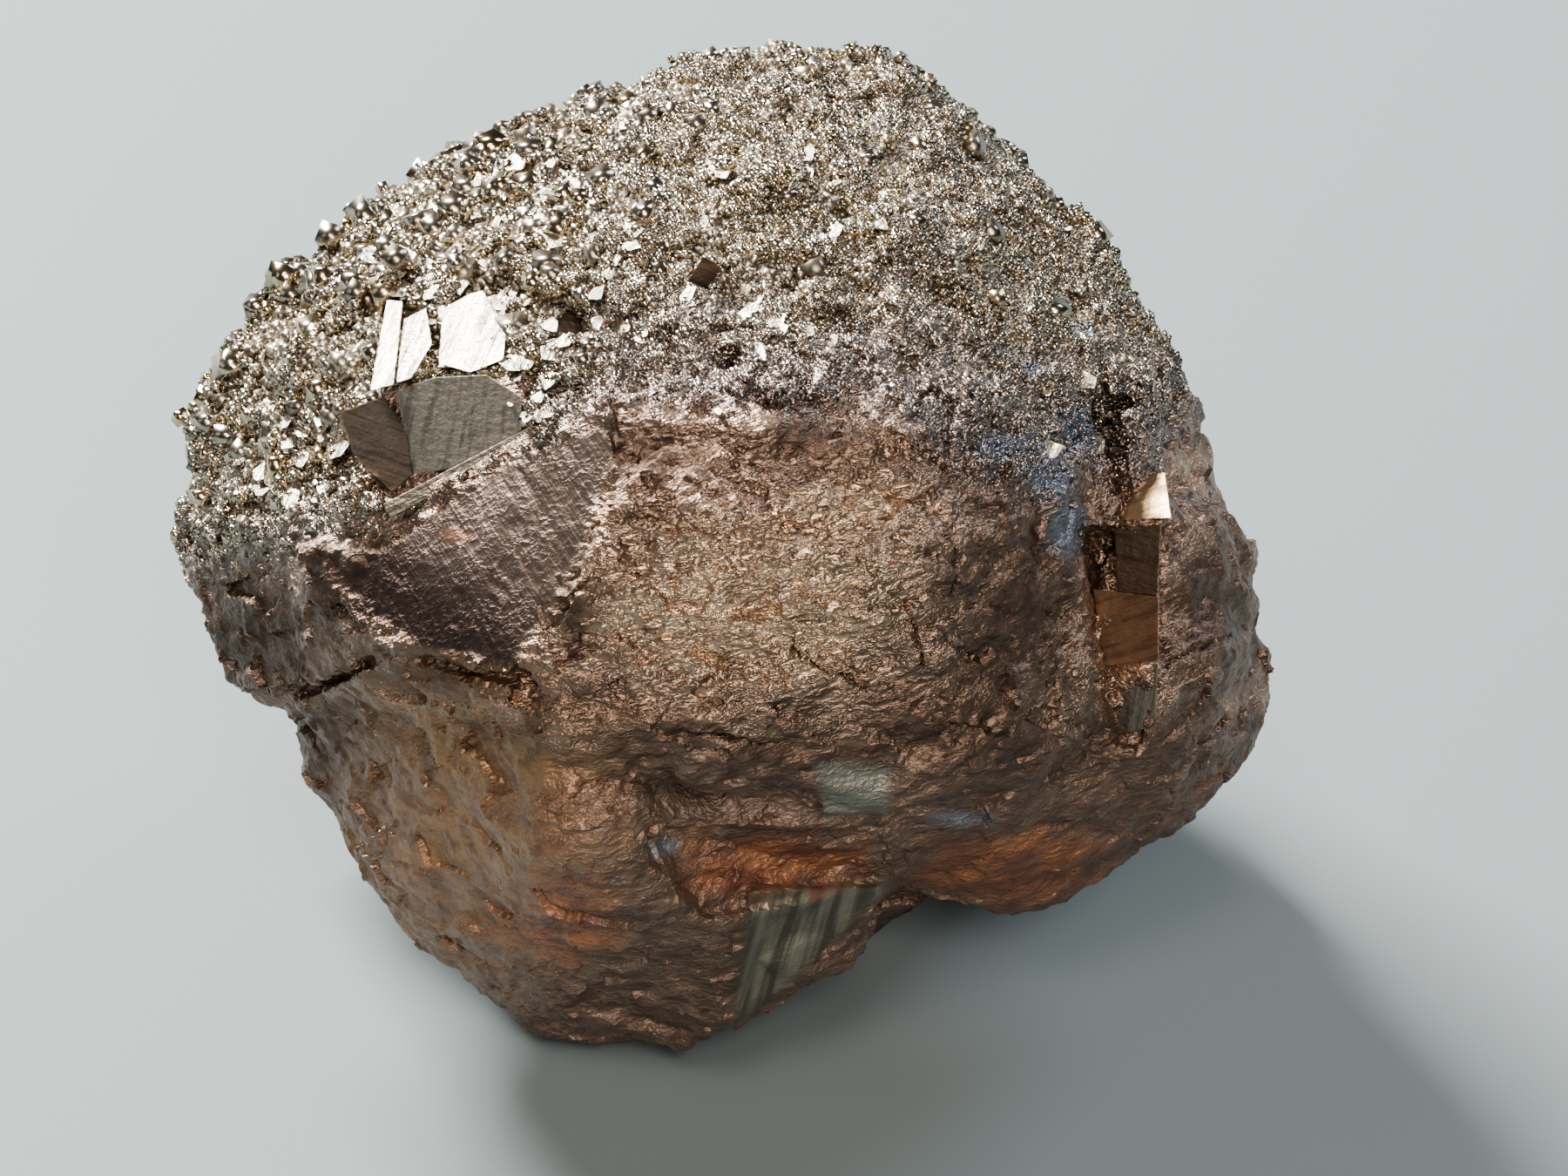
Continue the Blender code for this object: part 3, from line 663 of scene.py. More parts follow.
# %% [markdown]
# ## Tarnished pyrite, the skin's material
# Pyrite reflects like a metal. Fresh, it is pale brass yellow. Tarnish turns it bronze and brown, a thin oxide
# film shows blue, and where it weathers it rusts. The masks say where. Some masks paint light and shade into
# the
# colour: gold highlights in a painted gleam at the middle, and painted shade in bands, at the foot, on the left
# and in cracks. Where the gleam is painted, small cells tilt the normal like scales, so that single spots catch
# the light.

# %% Colours of the skin
# The broken front: painted gold highlights on bronze, browner where painted shade lies over thick tarnish, and
# almost black in cracks, also as painted shade.
PAINTED_GLINT_GOLD = linear("#e3c6a6")
BRONZE = linear(BRONZE_CODE)
BROWN = linear("#6b564a")
SHADE_AND_TARNISH_BROWN = linear("#43362e")
# Painted shade in the cracks.
CRACK_PAINTED_SHADE = linear("#1d1814")
# Between the grains: silvery metal among patches of painted shade that darken the gaps, and a reddish grey
# along their border.
GRAIN_SILVER = linear("#b5ab9b")
GRAIN_GAP_SHADE = linear("#63594c")
BORDER_GREY = linear("#837873")
BORDER_DARK = linear("#4f4542")
# The flat faces: the fan is grey and brown, the one under the front is striped green and grey.
FAN_GREY = linear("#675850")
FAN_BROWN = linear("#382c28")
GREEN_GREY = linear("#73736a")
GREEN_DARK = linear("#4c4b41")
GREEN_PALE = linear("#7f7c6f")
# The left is darkened with painted shade, the lobe at the lower left is warm bronze.
LEFT_SHADE_BROWN = linear("#3d3028")
WARM_BRONZE = linear("#96704a")
WARM_BROWN = linear("#6d4a33")
# Rust is a matt crust. The oxide film is so thin that it only tints the metal.
RUST_ORANGE = linear("#87583a")
RUST_RED = linear("#5e3a2d")
OXIDE_BLUE = linear("#6d717b")
# How the fibres of the front, the lines of the fan and those of the face under it slope, in degrees.
CRINKLE_SLOPE = 12.0
LINES_SLOPE = -57.0
UNDER_SLOPE = 75.0
WARM_STRENGTH = 0.7
LEFT_SHADE_STRENGTH = 0.75

tarnished, tree, shader = new_material("tarnished_pyrite")
on = {name: add(tree, "ShaderNodeAttribute", attribute_name=name).outputs["Fac"] for name in stored_masks}
fine_share = streaks(tree, 1.3, 0.6, CRINKLE_SLOPE, cut=(0.35, 0.7))
patch_share = streaks(tree, 3.6, 1.8, CRINKLE_SLOPE, cut=(0.4, 0.6))
grain_normal, grain_number = tilted_cells(tree, stretched(tree, 0.36, 0.34), 0.8)
rust_share = stained(tree, on["rust"], streaks(tree, 0.9, 0.6))
blue_share = stained(tree, on["blue"], streaks(tree, 0.5, 0.4))
warm_share = add(tree, "ShaderNodeMath", {0: on["warm"], 1: WARM_STRENGTH}, operation="MULTIPLY").outputs[0]
left_shade_share = add(tree, "ShaderNodeMath", {0: on["darkened"], 1: LEFT_SHADE_STRENGTH}, operation="MULTIPLY").outputs[0]

painted_glints_on_brown = coated(tree, BROWN, (fine_share, PAINTED_GLINT_GOLD))
painted_glints_on_bronze = coated(tree, BRONZE, (fine_share, PAINTED_GLINT_GOLD))
painted_gleam_colour = coated(tree, painted_glints_on_brown, (patch_share, painted_glints_on_bronze))
warm_colour = coated(tree, WARM_BRONZE, (streaks(tree, 1.8, 1.2, cut=(0.42, 0.62)), WARM_BROWN))
border = coated(tree, BORDER_DARK, (grain_number, BORDER_GREY))
silver_and_gap_shade = coated(tree, GRAIN_GAP_SHADE, (streaks(tree, 3.0, 3.0, cut=(0.4, 0.6)), GRAIN_SILVER))
stripes = streaks(tree, 12.0, 0.7, UNDER_SLOPE, 2.0, out=12.0, cut=(0.4, 0.6))
base = coated(
    tree,
    BROWN,
    (patch_share, BRONZE),
    # Painted gold highlights where the gleam is; painted shade in bands, on the left and in cracks.
    (on["painted_gleam"], painted_gleam_colour),
    (on["shade_and_tarnish"], coated(tree, SHADE_AND_TARNISH_BROWN, (fine_share, BROWN))),
    (warm_share, warm_colour),
    (left_shade_share, LEFT_SHADE_BROWN),
    (on["fan"], coated(tree, FAN_BROWN, (on["fan_light"], FAN_GREY))),
    (on["grain"], coated(tree, border, (on["coarse"], silver_and_gap_shade))),
    (on["green"], GREEN_GREY),
    (on["under"], coated(tree, GREEN_DARK, (stripes, GREEN_PALE))),
    (rust_share, coated(tree, RUST_RED, (patch_share, RUST_ORANGE))),
    (blue_share, OXIDE_BLUE),
    (on["crack"], CRACK_PAINTED_SHADE),
)
tree.links.new(base, shader.inputs["Base Color"])
print("Colour takes", len(tree.nodes), "nodes")

# %% [markdown]
# Metal stays metallic under tarnish, but rust and the weathered foot of the lump are duller. Polished grains
# and glints are smooth, the bands of painted shade and thick tarnish are rough. The finest relief is a bump,
# because it is narrower than the mesh's triangles: ridges like crumpled foil, grit in the shaded and tarnished
# bands, and growth lines on the flat faces.

# %% Roughness and relief of the skin
BUMP_DEPTH = 0.16 * MM
SCALE_TILT = 0.42
# How metallic the skin is where it is fresh, at the foot and under rust.
METAL, METAL_LOW, METAL_RUST = 1.0, 0.65, 0.4
ROUGH_BRONZE, ROUGH_GLINT, ROUGH_DARK, ROUGH_FAN, ROUGH_GRAIN = 0.38, 0.28, 0.5, 0.48, 0.24
# Strength of the ridges between and inside patches and in the bands of painted shade and tarnish, and of the
# grit.
RIDGES, RIDGES_PATCH, RIDGES_DARK = 0.26, 0.6, 0.16
GRIT, GRIT_DARK = 0.1, 0.5
# On the flat faces the growth lines count most, and a little of the ridges is left.
FACE_LINES = 0.7
FACE_RIDGES = 0.3

metallic = coated(tree, METAL, (on["low"], METAL_LOW), (rust_share, METAL_RUST), kind="FLOAT")
tree.links.new(metallic, shader.inputs["Metallic"])
polish = coated(tree, ROUGH_BRONZE, (fine_share, ROUGH_GLINT), kind="FLOAT")
duller = [(on["shade_and_tarnish"], ROUGH_DARK), (on["fan"], ROUGH_FAN), (on["grain"], ROUGH_GRAIN)]
tree.links.new(coated(tree, polish, *duller, kind="FLOAT"), shader.inputs["Roughness"])

inputs = {"Vector": stretched(tree, 1.0, 0.55, CRINKLE_SLOPE), "Scale": 1.0, "Detail": 3.0, "Roughness": 0.8}
inputs |= {"Offset": 1.0, "Gain": 1.4}
foil = add(tree, "ShaderNodeTexNoise", inputs, noise_type="RIDGED_MULTIFRACTAL", normalize=False)
depth = coated(tree, RIDGES, (patch_share, RIDGES_PATCH), (on["shade_and_tarnish"], RIDGES_DARK), kind="FLOAT")
ridges = add(tree, "ShaderNodeMath", {0: foil.outputs["Fac"], 1: depth}, operation="MULTIPLY").outputs[0]
grit_depth = coated(tree, GRIT, (on["shade_and_tarnish"], GRIT_DARK), kind="FLOAT")
grit_noise = streaks(tree, 0.7, 0.4, 25.0, 3.0)
grit = add(tree, "ShaderNodeMath", {0: grit_noise, 1: grit_depth}, operation="MULTIPLY").outputs[0]
fan_lines = streaks(tree, 9.0, 0.4, LINES_SLOPE, 2.0, out=9.0)
under_lines = streaks(tree, 12.0, 0.5, UNDER_SLOPE, 2.0, out=12.0)
lines = coated(tree, fan_lines, (on["under"], under_lines), kind="FLOAT")
lines = add(tree, "ShaderNodeMath", {0: lines, 1: FACE_LINES}, operation="MULTIPLY").outputs[0]
face_relief = add(tree, "ShaderNodeMath", {0: ridges, 1: FACE_RIDGES, 2: lines}, operation="MULTIPLY_ADD")
front_relief = add(tree, "ShaderNodeMath", {0: ridges, 1: grit}, operation="ADD")
on_faces = add(tree, "ShaderNodeMath", {0: on["fan"], 1: on["under"]}, operation="MAXIMUM").outputs[0]
height = coated(tree, front_relief.outputs[0], (on_faces, face_relief.outputs[0]), kind="FLOAT")

warp_place = stretched(tree, 1.4, 0.9, CRINKLE_SLOPE)
warp = add(tree, "ShaderNodeTexNoise", {"Vector": warp_place, "Scale": 1.0, "Detail": 2.0})
inputs = {0: stretched(tree, 0.7, 0.32, CRINKLE_SLOPE), 1: warp.outputs["Color"]}
scale_place = add(tree, "ShaderNodeVectorMath", inputs, operation="ADD").outputs[0]
scale_normal = tilted_cells(tree, scale_place, SCALE_TILT)[0]
normal = add(tree, "ShaderNodeNewGeometry").outputs["Normal"]
leaned = coated(tree, normal, (on["painted_gleam"], scale_normal), (on["grain"], grain_normal), kind="VECTOR")
inputs = {"Height": height, "Strength": 1.0, "Distance": BUMP_DEPTH, "Normal": leaned}
bump = add(tree, "ShaderNodeBump", inputs)
tree.links.new(bump.outputs["Normal"], shader.inputs["Normal"])
skin.data.materials.clear()
skin.data.materials.append(tarnished)
print("Skin material has", len(tree.nodes), "nodes")

# %% [markdown]
# ## Single crystals
# Some crystals are big enough to show flat faces: bright ones at the upper left with a dark front, and steps in
# the slot at the right. Each is an outline on the front face, the direction that its face looks in, and how far
# it stands out of the skin in millimetres. KEY_MIRROR is the direction that mirrors the main light.

# %% Outlines of the crystals
KEY_MIRROR = (-0.37, 0.69, 0.62)
BLOCK_RISE = 0.55
CRYSTALS = {
    "silver": [
        ([(-18.7, 8.4), (-18.0, 13.4), (-17.1, 13.3), (-17.4, 8.7)], (-0.4, 0.72, 0.57), BLOCK_RISE),
        (
            [(-17.3, 8.8), (-17.0, 12.3), (-15.8, 12.9), (-15.4, 10.9), (-16.5, 9.0)],
            (-0.5, 0.66, 0.56),
            BLOCK_RISE,
        ),
        (
            [
                (-15.0, 9.8), (-14.9, 12.8), (-13.5, 13.6), (-12.7, 13.8),
                (-11.4, 11.5), (-11.5, 10.0), (-13.3, 9.3),
            ],
            (-0.34, 0.7, 0.63),
            BLOCK_RISE,
        ),
    ],
    "brown": [
        (
            [(-20.4, 7.3), (-18.0, 8.1), (-16.7, 6.1), (-16.4, 3.9), (-17.5, 2.9), (-19.7, 5.1)],
            (-0.67, 0.04, 0.74),
            0.2,
        ),
        ([(-9.3, 10.6), (-8.1, 13.2), (-6.6, 10.8)], (0.35, 0.3, 0.88), 0.8),
        ([(-2.0, 13.8), (-0.9, 15.5), (0.5, 14.6), (-0.4, 13.4)], (0.3, -0.4, 0.86), 0.8),
        ([(21.2, 1.3), (23.7, 1.3), (23.5, -2.6), (21.4, -2.4)], (-0.5, 0.0, 0.87), 0.3),
    ],
    "grey": [
        (
            [(-17.3, 8.4), (-15.2, 9.1), (-12.4, 9.2), (-10.5, 8.0), (-10.5, 6.2), (-13.2, 4.3), (-16.4, 3.9)],
            (-0.52, 0.08, 0.85),
            0.2,
        ),
        ([(20.6, -6.2), (23.5, -6.2), (23.4, -9.6), (21.2, -10.2)], (-0.5, -0.3, 0.81), 0.3),
    ],
    "beige": [
        (
            [(-18.2, 2.2), (-12.1, 5.3), (-9.5, 6.7), (-9.2, 6.0), (-11.8, 4.5), (-17.5, 1.6)],
            (-0.5, 0.3, 0.81),
            0.08,
        ),
    ],
    "orange": [
        ([(20.0, -2.2), (23.5, -2.6), (23.5, -6.0), (20.6, -6.4)], (-0.45, 0.0, 0.89), 0.2),
    ],
    "gold": [
        ([(21.7, 1.5), (24.2, 1.6), (24.0, 4.1), (22.6, 3.9)], KEY_MIRROR, 0.4),
    ],
}
print(sum(len(group) for group in CRYSTALS.values()), "single crystals")

# %% [markdown]
# The face of a crystal is a plane that looks the given way, and lies where a ray from outside meets the skin.
# Its outline and a smaller one below it are only points: the convex hull turns them into a closed shape,
# whatever the outline is. A small bevel then gives its edges the thin bright line that real edges have.

# %% Shape of a crystal
CRYSTAL_DEPTH = 2.2
CRYSTAL_TAPER = 0.8
CRYSTAL_BEVEL = 0.07
BEVEL_PROFILE = 0.6
FLAT_WITHIN = 0.02
FAR_OUT = 60


def skin_at(tree, u, v):
    """How far out the skin lies at this place on the front face, in millimetres."""
    start = on_face(u, v, FAR_OUT)
    hit = tree.ray_cast(start, -OUT_OF_FACE)[0]
    return FAR_OUT - (start - hit).length / MM


def join_into(bm, part):
    """Adds one bmesh to another and frees it."""
    mesh = bpy.data.meshes.new("crystal")
    part.to_mesh(mesh)
    part.free()
    bm.from_mesh(mesh)
    bpy.data.meshes.remove(mesh)


def bevelled(bm, width):
    """Takes the sharpness off all edges of a crystal."""
    bmesh.ops.bevel(
        bm, geom=bm.edges[:], offset=width * MM, segments=2, profile=BEVEL_PROFILE, affect="EDGES"
    )
    return bm


def crystal(tree, outline, looks, rise, depth=CRYSTAL_DEPTH):
    """A flat-faced crystal with this outline, whose face looks this way and stands this far out of the skin."""
    middle_u = sum(u for u, v in outline) / len(outline)
    middle_v = sum(v for u, v in outline) / len(outline)
    middle_w = skin_at(tree, middle_u, middle_v) + rise
    bm = bmesh.new()
    for u, v in outline:
        slope = -(looks[0] * (u - middle_u) + looks[1] * (v - middle_v)) / looks[2]
        bm.verts.new(on_face(u, v, middle_w + slope))
        low_u = middle_u + (u - middle_u) * CRYSTAL_TAPER
        low_v = middle_v + (v - middle_v) * CRYSTAL_TAPER
        bm.verts.new(on_face(low_u, low_v, middle_w + slope - depth))
    bmesh.ops.convex_hull(bm, input=bm.verts)
    bmesh.ops.dissolve_limit(bm, angle_limit=FLAT_WITHIN, verts=bm.verts, edges=bm.edges)
    return bevelled(bm, CRYSTAL_BEVEL)


def new_piece(name, bm):
    mesh = bpy.data.meshes.new(name)
    bm.to_mesh(mesh)
    bm.free()
    piece = bpy.data.objects.new(name, mesh)
    bpy.context.scene.collection.objects.link(piece)
    return piece


skin_tree = BVHTree.FromObject(skin, bpy.context.evaluated_depsgraph_get())
print("Skin at the middle of the face lies", round(skin_at(skin_tree, 0, 0), 1), "mm out")

# %% [markdown]
# ## Chips and flakes
# Between the grains sit larger chips that mirror the main light, and on the front thin golden flakes lie along
# the fibres. Nobody could place hundreds by hand, so they are strewn over ovals, each at random in its place,
# size and tilt. Random numbers with a fixed seed give the same stone each time. FRONT_MIRROR is the direction
# that mirrors the light in front.

# %% Strew the chips and flakes
# Each oval is a middle, two radii in millimetres and how many chips or flakes lie there.
CHIP_OVALS = [
    ((-4.4, 24.0), (1.4, 1.2), 10),
    ((-10.6, 19.2), (3.0, 2.2), 44),
    ((-16.0, 16.0), (3.0, 2.6), 44),
    ((-9.8, 8.8), (2.0, 2.0), 12),
    ((-12.0, 15.0), (8.5, 6.0), 90),
    ((-23.2, 5.5), (2.8, 4.0), 40),
    ((2.0, 17.0), (9.0, 5.5), 40),
    ((19.5, 7.0), (2.6, 3.0), 8),
    ((0.0, 9.6), (14.0, 2.6), 16),
]
CHIP_REACH = (0.2, 0.7)
CHIP_LEAN = 0.8
CHIP_SIDES = 5
FLAKE_OVALS = [
    ((1.5, -1.2), (9.5, 5.2), 220),
    ((5.5, 1.8), (3.2, 1.5), 60),
    ((-8.0, -4.5), (2.4, 3.4), 30),
    ((-18.6, -16.2), (1.8, 1.2), 14),
    ((24.0, 6.5), (2.0, 2.6), 24),
]
FLAKE_REACH = (0.1, 0.45)
FLAKE_LEAN = 0.9
FLAKE_FLAT = 0.35
FLAKE_SLOPE = 0.3
FRONT_MIRROR = (0.07, 0.03, 1.0)
UNEVEN = 0.6
SHORTEST = 0.7
CHIP_RISE = 0.4
CHIP_DEPTH = 1.5


def chip(tree, middle, reach, mirror, lean, flat, rng):
    """A small crystal with uneven sides that looks roughly this way. flat is its height over its width."""
    outline = []
    for corner in range(CHIP_SIDES):
        angle = math.tau * (corner + rng.random() * UNEVEN) / CHIP_SIDES
        length = reach * (SHORTEST + UNEVEN * rng.random())
        along = length * math.cos(angle)
        across = length * math.sin(angle) * flat
        outline.append((middle[0] + along, middle[1] + across + along * (1 - flat) * FLAKE_SLOPE))
    looks = [part + lean * (rng.random() - 0.5) for part in mirror]
    return crystal(tree, outline, looks, reach * CHIP_RISE * flat, reach * CHIP_DEPTH)


def chips(tree, ovals, sizes, mirror, lean, flat, rng):
    """Small crystals strewn over some ovals, most of them small, in one bmesh."""
    group = bmesh.new()
    for middle, radii, count in ovals:
        for number in range(count):
            angle = math.tau * rng.random()
            share = math.sqrt(rng.random())
            u = middle[0] + radii[0] * share * math.cos(angle)
            v = middle[1] + radii[1] * share * math.sin(angle)
            reach = sizes[0] + (sizes[1] - sizes[0]) * rng.random() ** 2
            join_into(group, chip(tree, (u, v), reach, mirror, lean, flat, rng))
    return group


rng = random.Random(7)
strewn = {
    "silver": chips(skin_tree, CHIP_OVALS, CHIP_REACH, KEY_MIRROR, CHIP_LEAN, 1.0, rng),
    "gold": chips(skin_tree, FLAKE_OVALS, FLAKE_REACH, FRONT_MIRROR, FLAKE_LEAN, FLAKE_FLAT, rng),
}
for look, group in strewn.items():
    print("Strewn over the skin in", look + ":", len(group.faces), "faces")

# %% [markdown]
# ## Flat pyrite, the crystals' material
# A crystal face of pyrite is a mirror with fine parallel growth lines. Fresh ones are silvery, gold or brass
# yellow, tarnished ones brown, grey, beige or orange. So one material is made in seven looks. The cubes of the
# back join the brass ones.

# %% Make the crystals
# Colour, roughness, depth of the growth lines in millimetres and their slope in degrees.
LOOKS = {
    "silver": ("#d2c8b8", 0.3, 0.2, 65),
    "brown": ("#66564a", 0.42, 0.06, -20),
    "grey": ("#8f877c", 0.42, 0.08, 80),
    "beige": ("#5f554a", 0.42, 0.1, 26),
    "orange": ("#7a5f4a", 0.45, 0.03, 20),
    "gold": ("#d4b188", 0.32, 0.06, 20),
    "brass": ("#b3a27c", 0.26, 0.03, -57),
}
DULL_PART = 0.4
DULL_ROUGHER = 0.12
CUBE_RISE = 0.4


def crystal_material(name, code, roughness, step, slope):
    """Flat pyrite with fine parallel growth lines, darker in patches."""
    material, tree, shader = new_material(name + "_crystal")
    share = streaks(tree, 3.0, 0.4, slope, out=3.0, cut=(0.38, 0.55))
    colour = linear(code)
    darkened = (*(part * DULL_PART for part in colour[:3]), 1.0)
    tree.links.new(coated(tree, darkened, (share, colour)), shader.inputs["Base Color"])
    shader.inputs["Metallic"].default_value = 1.0
    polish = coated(tree, roughness + DULL_ROUGHER, (share, roughness), kind="FLOAT")
    tree.links.new(polish, shader.inputs["Roughness"])
    inputs = {0: streaks(tree, 12.0, 0.5, slope, 3.0, out=12.0), 1: streaks(tree, 0.6, 0.4)}
    relief = add(tree, "ShaderNodeMath", inputs, operation="ADD").outputs[0]
    bump = add(tree, "ShaderNodeBump", {"Height": relief, "Strength": 1.0, "Distance": step * MM})
    tree.links.new(bump.outputs["Normal"], shader.inputs["Normal"])
    return material


crystals = []
for look, (code, roughness, step, slope) in LOOKS.items():
    group = strewn.get(look) or bmesh.new()
    for outline, looks, rise in CRYSTALS.get(look, []):
        join_into(group, crystal(skin_tree, outline, looks, rise))
    if look == "brass":
        for place, edge in cubes:
            shape = bmesh.new()
            bmesh.ops.create_cube(shape, size=(edge + CUBE_RISE) * MM, matrix=place)
            join_into(group, bevelled(shape, CRYSTAL_BEVEL * 2))
    piece = new_piece(look + "_crystals", group)
    piece.data.materials.append(crystal_material(look, code, roughness, step, slope))
    crystals.append(piece)
    print(piece.name, "has", len(piece.data.polygons), "faces")

# %% [markdown]
# ## The grains
# The sugary top is made of real little crystals. Geometry Nodes scatters points on the granular part of the
# skin, puts a small cube on each with its own turn, size and proportions, and makes them real mesh. Each cube
# also keeps a random number, shade, for its colour.

# %% Nodes that grow grains
GRAIN_SMALL = 0.15
GRAIN_SUNK = 0.1
# Grains along the border are this part of the largest size. The power makes small grains commoner.
BORDER_GRAIN = 0.5
SMALLER_POWER = 2.2
FULL_TURN = 6.28
LEAST_STRETCH = 0.75
MOST_STRETCH = 1.35


def grain_group(name, density_name, count_wanted, largest_edge, area, seed):
    """Geometry nodes that cover the part of a mesh where the named mask is 1 with crystals."""
    group = bpy.data.node_groups.new(name, "GeometryNodeTree")
    group.interface.new_socket("Geometry", in_out="INPUT", socket_type="NodeSocketGeometry")
    group.interface.new_socket("Geometry", in_out="OUTPUT", socket_type="NodeSocketGeometry")
    start = add(group, "NodeGroupInput").outputs["Geometry"]

    mask = add(group, "GeometryNodeInputNamedAttribute", {"Name": density_name}, data_type="FLOAT")
    inputs = {0: mask.outputs["Attribute"], 1: count_wanted / area}
    density = add(group, "ShaderNodeMath", inputs, operation="MULTIPLY")
    inputs = {"Mesh": start, "Density": density.outputs[0], "Seed": seed}
    points = add(group, "GeometryNodeDistributePointsOnFaces", inputs, distribute_method="RANDOM")
    inputs = {0: points.outputs["Normal"], "Scale": -GRAIN_SUNK * MM}
    inwards = add(group, "ShaderNodeVectorMath", inputs, operation="SCALE")
    inputs = {"Geometry": points.outputs["Points"], "Offset": inwards.outputs["Vector"]}
    sunk = add(group, "GeometryNodeSetPosition", inputs)

    inputs = {"Min": (0, 0, 0), "Max": (FULL_TURN, FULL_TURN, FULL_TURN), "Seed": seed + 1}
    turn = add(group, "FunctionNodeRandomValue", inputs, data_type="FLOAT_VECTOR")
    size = add(group, "FunctionNodeRandomValue", {2: 0.0, 3: 1.0, "Seed": seed + 2}, data_type="FLOAT")
    curved = add(group, "ShaderNodeMath", {0: size.outputs[1], 1: SMALLER_POWER}, operation="POWER")
    coarse = add(group, "GeometryNodeInputNamedAttribute", {"Name": "coarse"}, data_type="FLOAT")
    inputs = {"Value": coarse.outputs["Attribute"]}
    inputs |= {"To Min": largest_edge * BORDER_GRAIN, "To Max": largest_edge}
    largest = add(group, "ShaderNodeMapRange", inputs)
    inputs = {"Value": curved.outputs[0], "To Min": GRAIN_SMALL, "To Max": largest.outputs["Result"]}
    edge = add(group, "ShaderNodeMapRange", inputs)
    inputs = {"Min": [LEAST_STRETCH] * 3, "Max": [MOST_STRETCH] * 3, "Seed": seed + 3}
    stretch = add(group, "FunctionNodeRandomValue", inputs, data_type="FLOAT_VECTOR")
    inputs = {0: stretch.outputs["Value"], "Scale": edge.outputs["Result"]}
    scale = add(group, "ShaderNodeVectorMath", inputs, operation="SCALE")

    cube = add(group, "GeometryNodeMeshCube", {"Size": (MM, MM, MM)})
    inputs = {"Points": sunk.outputs["Geometry"], "Instance": cube.outputs["Mesh"]}
    inputs |= {"Rotation": turn.outputs["Value"], "Scale": scale.outputs["Vector"]}
    grown = add(group, "GeometryNodeInstanceOnPoints", inputs)
    shade = add(group, "FunctionNodeRandomValue", {2: 0.0, 3: 1.0, "Seed": seed + 4}, data_type="FLOAT")
    inputs = {"Geometry": grown.outputs["Instances"], "Name": "shade", "Value": shade.outputs[1]}
    marked = add(group, "GeometryNodeStoreNamedAttribute", inputs, data_type="FLOAT", domain="INSTANCE")
    real = add(group, "GeometryNodeRealizeInstances", {"Geometry": marked.outputs["Geometry"]})
    add(group, "NodeGroupOutput", {"Geometry": real.outputs["Geometry"]})
    return group


print("Smallest grains are", GRAIN_SMALL, "mm wide")

# %% [markdown]
# The grains are split into pieces from left to right, so that no mesh gets too heavy, and a last piece adds the
# large ones. How many a piece gets depends on how much of the skin its mask covers. None grow under the single
# crystals, and large ones keep out of the hollows.

# %% Grow the grains
SHOWN_FROM = -9
LEFT_END = -5
RIGHT_START = 8
LARGE_LEFT_OF = -2
LARGE_ELSEWHERE = 0.25
GRAIN_FALL = 1.5
CRYSTAL_MARGIN = 0.3


def masked_area(mesh, values):
    """The mesh's area in square metres, each triangle counted by its mask."""
    areas = np.empty(len(mesh.polygons), dtype=np.float32)
    mesh.polygons.foreach_get("area", areas)
    corners = np.empty(len(mesh.loops), dtype=np.int32)
    mesh.loops.foreach_get("vertex_index", corners)
    return float((areas * values[corners].reshape(-1, 3).mean(axis=1)).sum())


def stored(mesh, name):
    """The values of a mask that is kept on a mesh."""
    values = np.empty(len(mesh.vertices), dtype=np.float32)
    mesh.attributes[name].data.foreach_get("value", values)
    return values


def grow_grains(name, mask, count, largest_edge, seed):
    """A piece of crystals grown on the skin where the mask is 1."""
    piece = bpy.data.objects.new(name, skin.data.copy())
    bpy.context.scene.collection.objects.link(piece)
    layer = piece.data.attributes.new("grow", "FLOAT", "POINT")
    layer.data.foreach_set("value", mask.astype(np.float32))
    nodes = piece.modifiers.new("grow", "NODES")
    area = masked_area(piece.data, mask)
    nodes.node_group = grain_group(name, "grow", count, largest_edge, area, seed)
    made_by_modifiers(piece)
    piece.data.shade_smooth()
    print(name, "has", len(piece.data.polygons) // 6, "crystals")
    return piece


skin_places = face_places(skin.data)
to_right = skin_places[:, 0]
shown = skin_places[:, 2] > SHOWN_FROM
covered = np.zeros(len(skin_places))
for look in ("silver", "grey", "brown", "beige"):
    for outline, looks, rise in CRYSTALS[look]:
        under_crystal = inside_outline(skin_places, outline, CRYSTAL_MARGIN) * shown
        covered = np.maximum(covered, under_crystal)
density = stored(skin.data, "grain") ** GRAIN_FALL * (1 - covered)
large_here = np.where(to_right < LARGE_LEFT_OF, 1.0, LARGE_ELSEWHERE)
raised = (stored(skin.data, "coarse") ** 2) * (1 - stored(skin.data, "hollow")) * large_here
middle = (to_right >= LEFT_END) * (to_right < RIGHT_START)
# Each piece with where it grows, how many crystals it has and the longest edge of one in millimetres.
regions = [
    ("grains_left", density * shown * (to_right < LEFT_END), 9000, 0.6),
    ("grains_middle", density * shown * middle, 12000, 0.5),
    ("grains_right", density * shown * (to_right >= RIGHT_START), 13000, 0.45),
    ("grains_back", density * ~shown, 10000, 0.7),
    ("large_grains", density * raised, 1100, 1.3),
]
thinned = 1.0
grains = []
for index, (name, mask, count, largest_edge) in enumerate(regions):
    grains.append(grow_grains(name, mask, count * thinned, largest_edge, 10 * index))

# %% [markdown]
# ## Fresh pyrite, the grains' material
# The grains broke open only lately, so they are silvery to straw yellow and smooth, and each catches the light
# on its own. The number kept on each crystal picks its colour and how dull it is.

# %% Grain material
# Silvery metal, yellower on some crystals.
SILVER_DARK = linear("#857b6d")
SILVER_PALE = linear("#cfc5b3")
STRAW = linear("#cdb88c")
# Painted shade, with dull dust, lies in the hollows between clumps.
HOLLOW_SHADE_DARK = linear("#3d362e")
HOLLOW_SHADE_PALE = linear("#776d60")
